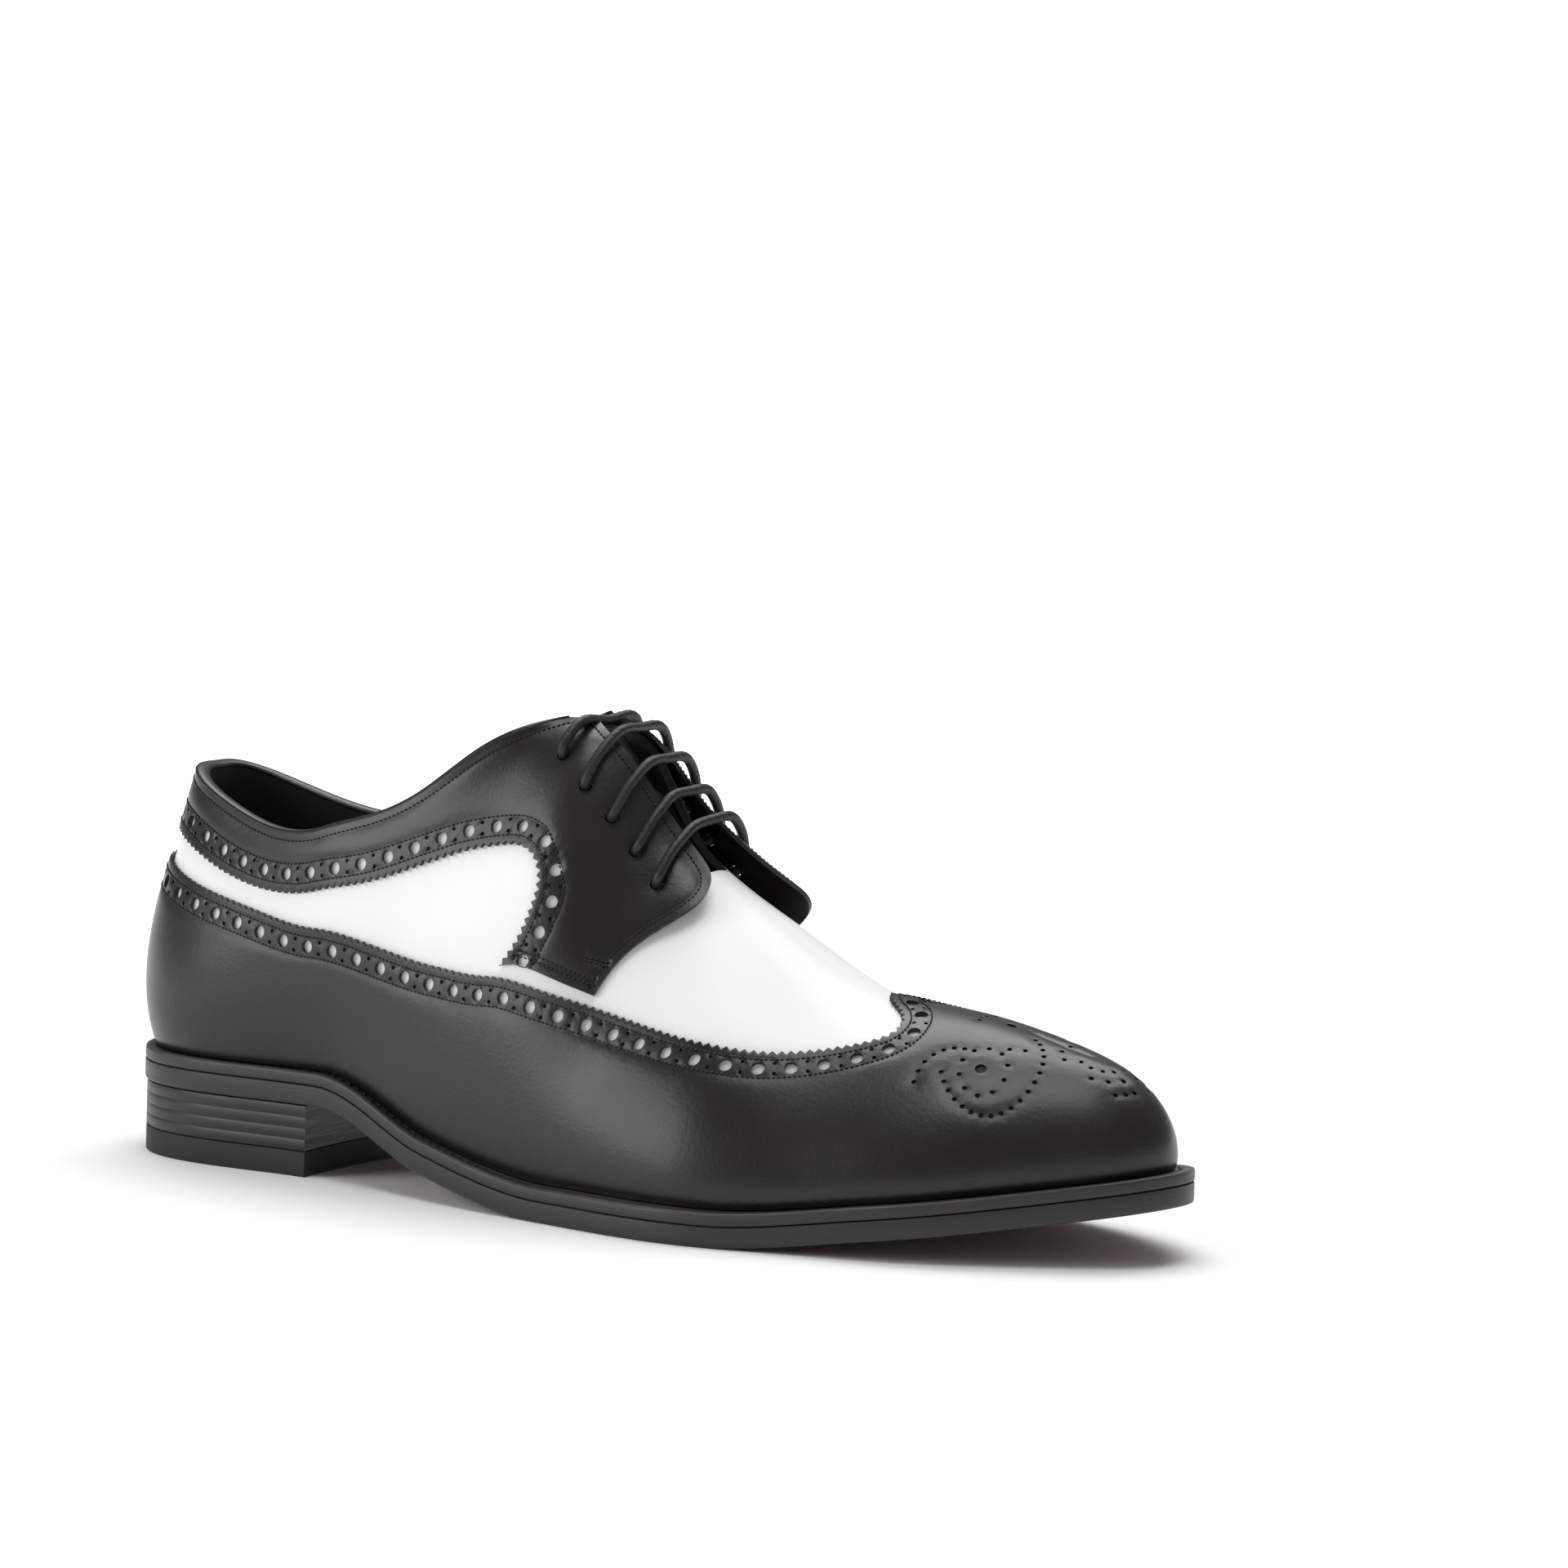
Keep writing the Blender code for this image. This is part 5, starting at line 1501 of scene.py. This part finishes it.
    def sew_welt(self, bottom: Bottom, thread: bpy.types.Material) -> None:
        """Sew the welt to the outsole with coarse stitches in the groove."""
        last = self.last
        places = np.linspace(0, 2, 900, endpoint=False)
        level = last.outsole + last.welt - bottom.groove_depth + 0.35 * MM
        points = last.ring(places, bottom.groove_in, level)
        edges = [(k, (k + 1) % len(points)) for k in range(len(points))]
        facing = np.repeat([[0.0, 0.0, 1.0]], len(points), axis=0)
        self.run("welt_stitches", points, edges, facing, self.stitch_tree(),
                 {"Pitch": 3.0 * MM, "Length": 2.6 * MM, "Width": 0.8 * MM, "Height": 0.8 * MM,
                  "Material": thread}, "sole_leather")

    def shade_small_holes(self, upper: Upper, dark: bpy.types.Material) -> None:
        """Darken the small holes with discs of painted shade."""
        flat = np.array([centre for centre, _, _ in upper.shade_discs])
        size = np.array([diameter for _, diameter, _ in upper.shade_discs])
        lifted = np.array([lifted for _, _, lifted in upper.shade_discs], float)
        points = self.last.point(flat, upper.gap + 0.4 * upper.leather + self.last.lift(flat) * lifted)
        self.run("pin_hole_shade_discs", points, [], self.last.normal(flat), self.shade_disc_tree(),
                 {"Radius": self.shade_disc_share, "Material": dark}, "black_calf", size)


@dataclass
class Lacing:
    """One round lace, straight across in five bars, with its hidden runs under the facings.

    Args:
        last: the last.
        diameter: of the cord.
        leather, gap, wall: thickness of the facings, the air under them and the shell, as in Upper.
        clearance: air between the cord and the facing.
        hump: how much higher a bar stands halfway to the facing's edge.
        edge_rise: the rise of the facing's edge.
    """

    last: Last
    diameter: float = 2.65 * MM
    leather: float = 1.3 * MM
    gap: float = 0.3 * MM
    wall: float = 2.0 * MM
    clearance: float = 0.7 * MM
    hump: float = 0.5 * MM
    edge_rise: float = 0.905

    def half_bar(self, number: int, side: Side) -> np.ndarray:
        """Return the points of a bar from its eyelet to the middle of the gap."""
        _, place, rise, _ = EYELETS[number]
        levels = np.linspace(rise, self.edge_rise, 5)
        flat = side.turn(np.stack([np.full(5, place), levels], axis=1))
        normal, lift = self.last.normal(flat), self.last.lift(flat)
        over = self.last.point(flat, self.gap + self.leather + lift)
        radius = self.diameter / 2
        share = (levels - rise) / (self.edge_rise - rise)
        stand = radius + self.clearance + self.hump * np.sin(np.pi * share / 2)
        stand[0] = radius / 2
        first = over[:1] - normal[:1] * self.leather / 2
        return np.vstack([first, over + normal * stand[:, None]])

    def under(self, number: int, side: Side, shift: float = 0.0) -> np.ndarray:
        """Return a point of the lace under an eyelet, or a little off it."""
        _, place, rise, through = EYELETS[number]
        flat = side.turn(np.array([[place, rise + shift]]))
        depth = -self.wall - self.diameter / 2 - 0.3 * MM if through else \
            self.gap + self.last.lift(flat)[0] - self.diameter / 2 - 0.2 * MM
        return self.last.point(flat, depth)[0]

    def route(self) -> np.ndarray:
        """Return the lace's whole middle line, hidden ends at the top eyelets."""
        outer, inner = Side.OUTER, Side.INNER

        def bar(number: int, start: Side) -> list:
            end = inner if start is outer else outer
            first, last_half = self.half_bar(number, start), self.half_bar(number, end)[::-1]
            middle = (first[-1] + last_half[0]) / 2 + [0.0, 0.0, self.hump]
            return [self.under(number, start), *first, middle, *last_half, self.under(number, end)]

        knots = [self.under(0, outer, 0.035)]
        knots += bar(1, outer)
        knots += [self.under(2, inner, 0.035)]
        knots += bar(3, inner)
        knots += bar(4, outer)
        knots += [self.under(3, inner, -0.035)]
        knots += bar(2, inner)
        knots += [self.under(1, outer, -0.035)]
        knots += bar(0, outer)
        knots = np.array(knots)
        run = run_length(knots) + np.arange(len(knots)) * 1e-6
        at = np.linspace(0, run[-1], int(run[-1] / (0.4 * MM)))
        return np.stack([spline(run, knots[:, k])(at) for k in range(3)], axis=1)

    def build(self, cord: bpy.types.Material) -> None:
        """Make the lace as a braided tube."""
        line = self.route()
        run = run_length(line)
        tangent = unit(np.gradient(line, axis=0))
        across = np.zeros_like(line)
        across[0] = unit(np.cross(tangent[:1], [[0.0, 0.0, 1.0]]))[0]
        for i in range(1, len(line)):
            step = across[i - 1] - tangent[i] * (across[i - 1] @ tangent[i])
            across[i] = step / np.linalg.norm(step)
        third = np.cross(tangent, across)
        sides = 16
        turn = np.arange(sides) * WHOLE_TURN / sides
        lay = WHOLE_TURN * run[:, None] / (2.4 * MM)
        strands = np.maximum(np.cos(4 * turn + lay), np.cos(4 * turn - lay))
        radius = self.diameter / 2 * (0.97 + 0.05 * strands)
        ring = np.cos(turn)[None, :, None] * across[:, None] + np.sin(turn)[None, :, None] * third[:, None]
        points = (line[:, None] + ring * radius[:, :, None]).reshape(-1, 3)
        piece = Piece("lace", points, tube_faces(len(line), sides), [cord], sharp=1.6)
        piece.place("lace", *[f"lace_bar_{i}" for i in range(1, 6)])
        log.info("lace: %.0f mm long", run[-1] / MM)


@dataclass
class Studio:
    """White floor, soft boxes and the camera of the photograph.

    Args:
        azimuth, elevation, roll: the camera's angles in degrees.
        distance: from the target.
        target: the point at the middle of the picture.
        lens: for a sensor 36 mm wide.
    """

    azimuth: float = 31.8
    elevation: float = 6.0
    roll: float = 1.9
    distance: float = 1.9
    target: tuple = (0.1545, 0.0, 0.1093)
    lens: float = 174.56

    def make_camera(self) -> None:
        """Make the camera."""
        a, e, r = np.radians([self.azimuth, self.elevation, self.roll])
        back = np.array([np.sin(a) * np.cos(e), -np.cos(a) * np.cos(e), np.sin(e)])
        right = np.array([np.cos(a), np.sin(a), 0.0])
        up = np.cross(back, right)
        rolled = np.cos(r) * right + np.sin(r) * up, -np.sin(r) * right + np.cos(r) * up, back
        data = bpy.data.cameras.new("camera")
        data.lens, data.sensor_width, data.sensor_fit = self.lens, 36.0, "HORIZONTAL"
        data.clip_start, data.clip_end = 0.05, 50.0
        camera = bpy.data.objects.new("camera", data)
        turned = Matrix([list(axis) for axis in rolled]).transposed()
        camera.matrix_world = Matrix.Translation(Vector(np.array(self.target) + back * self.distance)) \
            @ turned.to_4x4()
        bpy.context.scene.collection.objects.link(camera)
        bpy.context.scene.camera = camera

    def make_floor(self) -> None:
        """Make the white floor, a wide disc whose far rim rises a little, lit from within far off."""
        sides = 96
        turn = np.arange(sides) * WHOLE_TURN / sides
        rings = [np.stack([r * np.cos(turn), r * np.sin(turn), np.full(sides, z)], axis=1)
                 for r, z in ((0.5, 0.0), (4.0, 0.0), (12.0, 0.0), (30.0, 1.5))]
        points = np.vstack([[[0.0, 0.0, 0.0]], *rings])
        faces = [(0, 1 + k, 1 + (k + 1) % sides) for k in range(sides)]
        faces += [(1 + r * sides + k, 1 + (r + 1) * sides + k, 1 + (r + 1) * sides + (k + 1) % sides,
                   1 + r * sides + (k + 1) % sides) for r in range(3) for k in range(sides)]
        mesh = bpy.data.meshes.new("floor")
        mesh.from_pydata([tuple(p) for p in points], [], faces)
        made = bpy.data.materials.new("floor_paper_white")
        made.use_nodes = True
        tree = made.node_tree
        shader = tree.nodes["Principled BSDF"]
        shader.inputs["Base Color"].default_value = (0.96, 0.96, 0.96, 1)
        shader.inputs["Roughness"].default_value = 0.9
        shader.inputs["Specular IOR Level"].default_value = 0.1
        shader.inputs["Emission Color"].default_value = (1, 1, 1, 1)
        place = add(tree, "ShaderNodeTexCoord").outputs["Object"]
        off = add(tree, "ShaderNodeVectorMath", {0: place, 1: (0.12, 0.0, 0.0)}, operation="DISTANCE")
        glow = add(tree, "ShaderNodeMapRange", {"Value": off.outputs["Value"], "From Min": 0.25,
                                                "From Max": 1.1, "To Min": 0.0, "To Max": 0.9},
                   interpolation_type="SMOOTHSTEP")
        tree.links.new(glow.outputs[0], shader.inputs["Emission Strength"])
        mesh.materials.append(made)
        floor = bpy.data.objects.new("floor", mesh)
        bpy.context.scene.collection.objects.link(floor)

    def make_light(self, name: str, place: tuple, aim: tuple, size: tuple, power: float) -> None:
        """Make one soft box."""
        data = bpy.data.lights.new(name, "AREA")
        data.shape, data.size, data.size_y, data.energy = "RECTANGLE", size[0], size[1], power
        light = bpy.data.objects.new(name, data)
        light.matrix_world = Matrix.Translation(place) @ \
            (Vector(place) - Vector(aim)).to_track_quat("Z", "Y").to_matrix().to_4x4()
        bpy.context.scene.collection.objects.link(light)

    def build(self) -> None:
        """Make the whole studio."""
        self.make_camera()
        self.make_floor()
        self.make_light("soft_box_key", (-0.85, -1.20, 0.62), (0.1, 0.0, 0.06), (0.9, 0.8), 10)
        self.make_light("soft_box_back", (-0.15, 0.75, 1.60), (0.1, 0.0, 0.05), (1.6, 1.2), 25)
        self.make_light("soft_box_top", (0.32, -0.35, 1.65), (0.14, 0.0, 0.05), (0.8, 0.7), 8)
        world = bpy.data.worlds.new("studio")
        world.use_nodes = True
        world.node_tree.nodes["Background"].inputs["Color"].default_value = (1, 1, 1, 1)
        world.node_tree.nodes["Background"].inputs["Strength"].default_value = 0.25
        bpy.context.scene.world = world
        bpy.context.scene.view_settings.view_transform = "Standard"


def main() -> None:
    """Dress the shoe."""
    logging.basicConfig(level=logging.INFO, format="%(message)s")
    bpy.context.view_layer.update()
    kept = set(frame["nodes"].values()) | set(frame["bodies"].values())
    for thing in list(bpy.data.objects):
        if thing not in kept:
            bpy.data.objects.remove(thing)

    last = Last()
    black, white, lining = (finish.material() for finish in (BLACK_CALF, WHITE_CALF, LINING))
    thread, edge, rubber = (finish.material() for finish in (THREAD, SOLE_EDGE, RUBBER))

    Studio().build()

    bottom = Bottom(last)
    bottom.make_outsole(edge, SOLE_GRAIN.material())
    bottom.make_welt(edge)
    bottom.make_insole(lining)
    bottom.make_heel(edge, rubber)

    upper = Upper(last)
    upper.make_shell(white, lining)
    upper.make_wing(black)
    upper.make_quarter(Side.OUTER, black, "quarter_outer")
    upper.make_quarter(Side.INNER, black, "quarter_inner")
    upper.make_tongue(black)
    upper.make_topline(black)

    sewing = Sewing(last)
    sewing.sew(upper, thread)
    sewing.sew_welt(bottom, thread)
    # Dark discs of painted shade in the small holes, in the lining's colour
    sewing.shade_small_holes(upper, lining)

    Lacing(last).build(CORD.material())


if __name__ == "__main__":
    main()
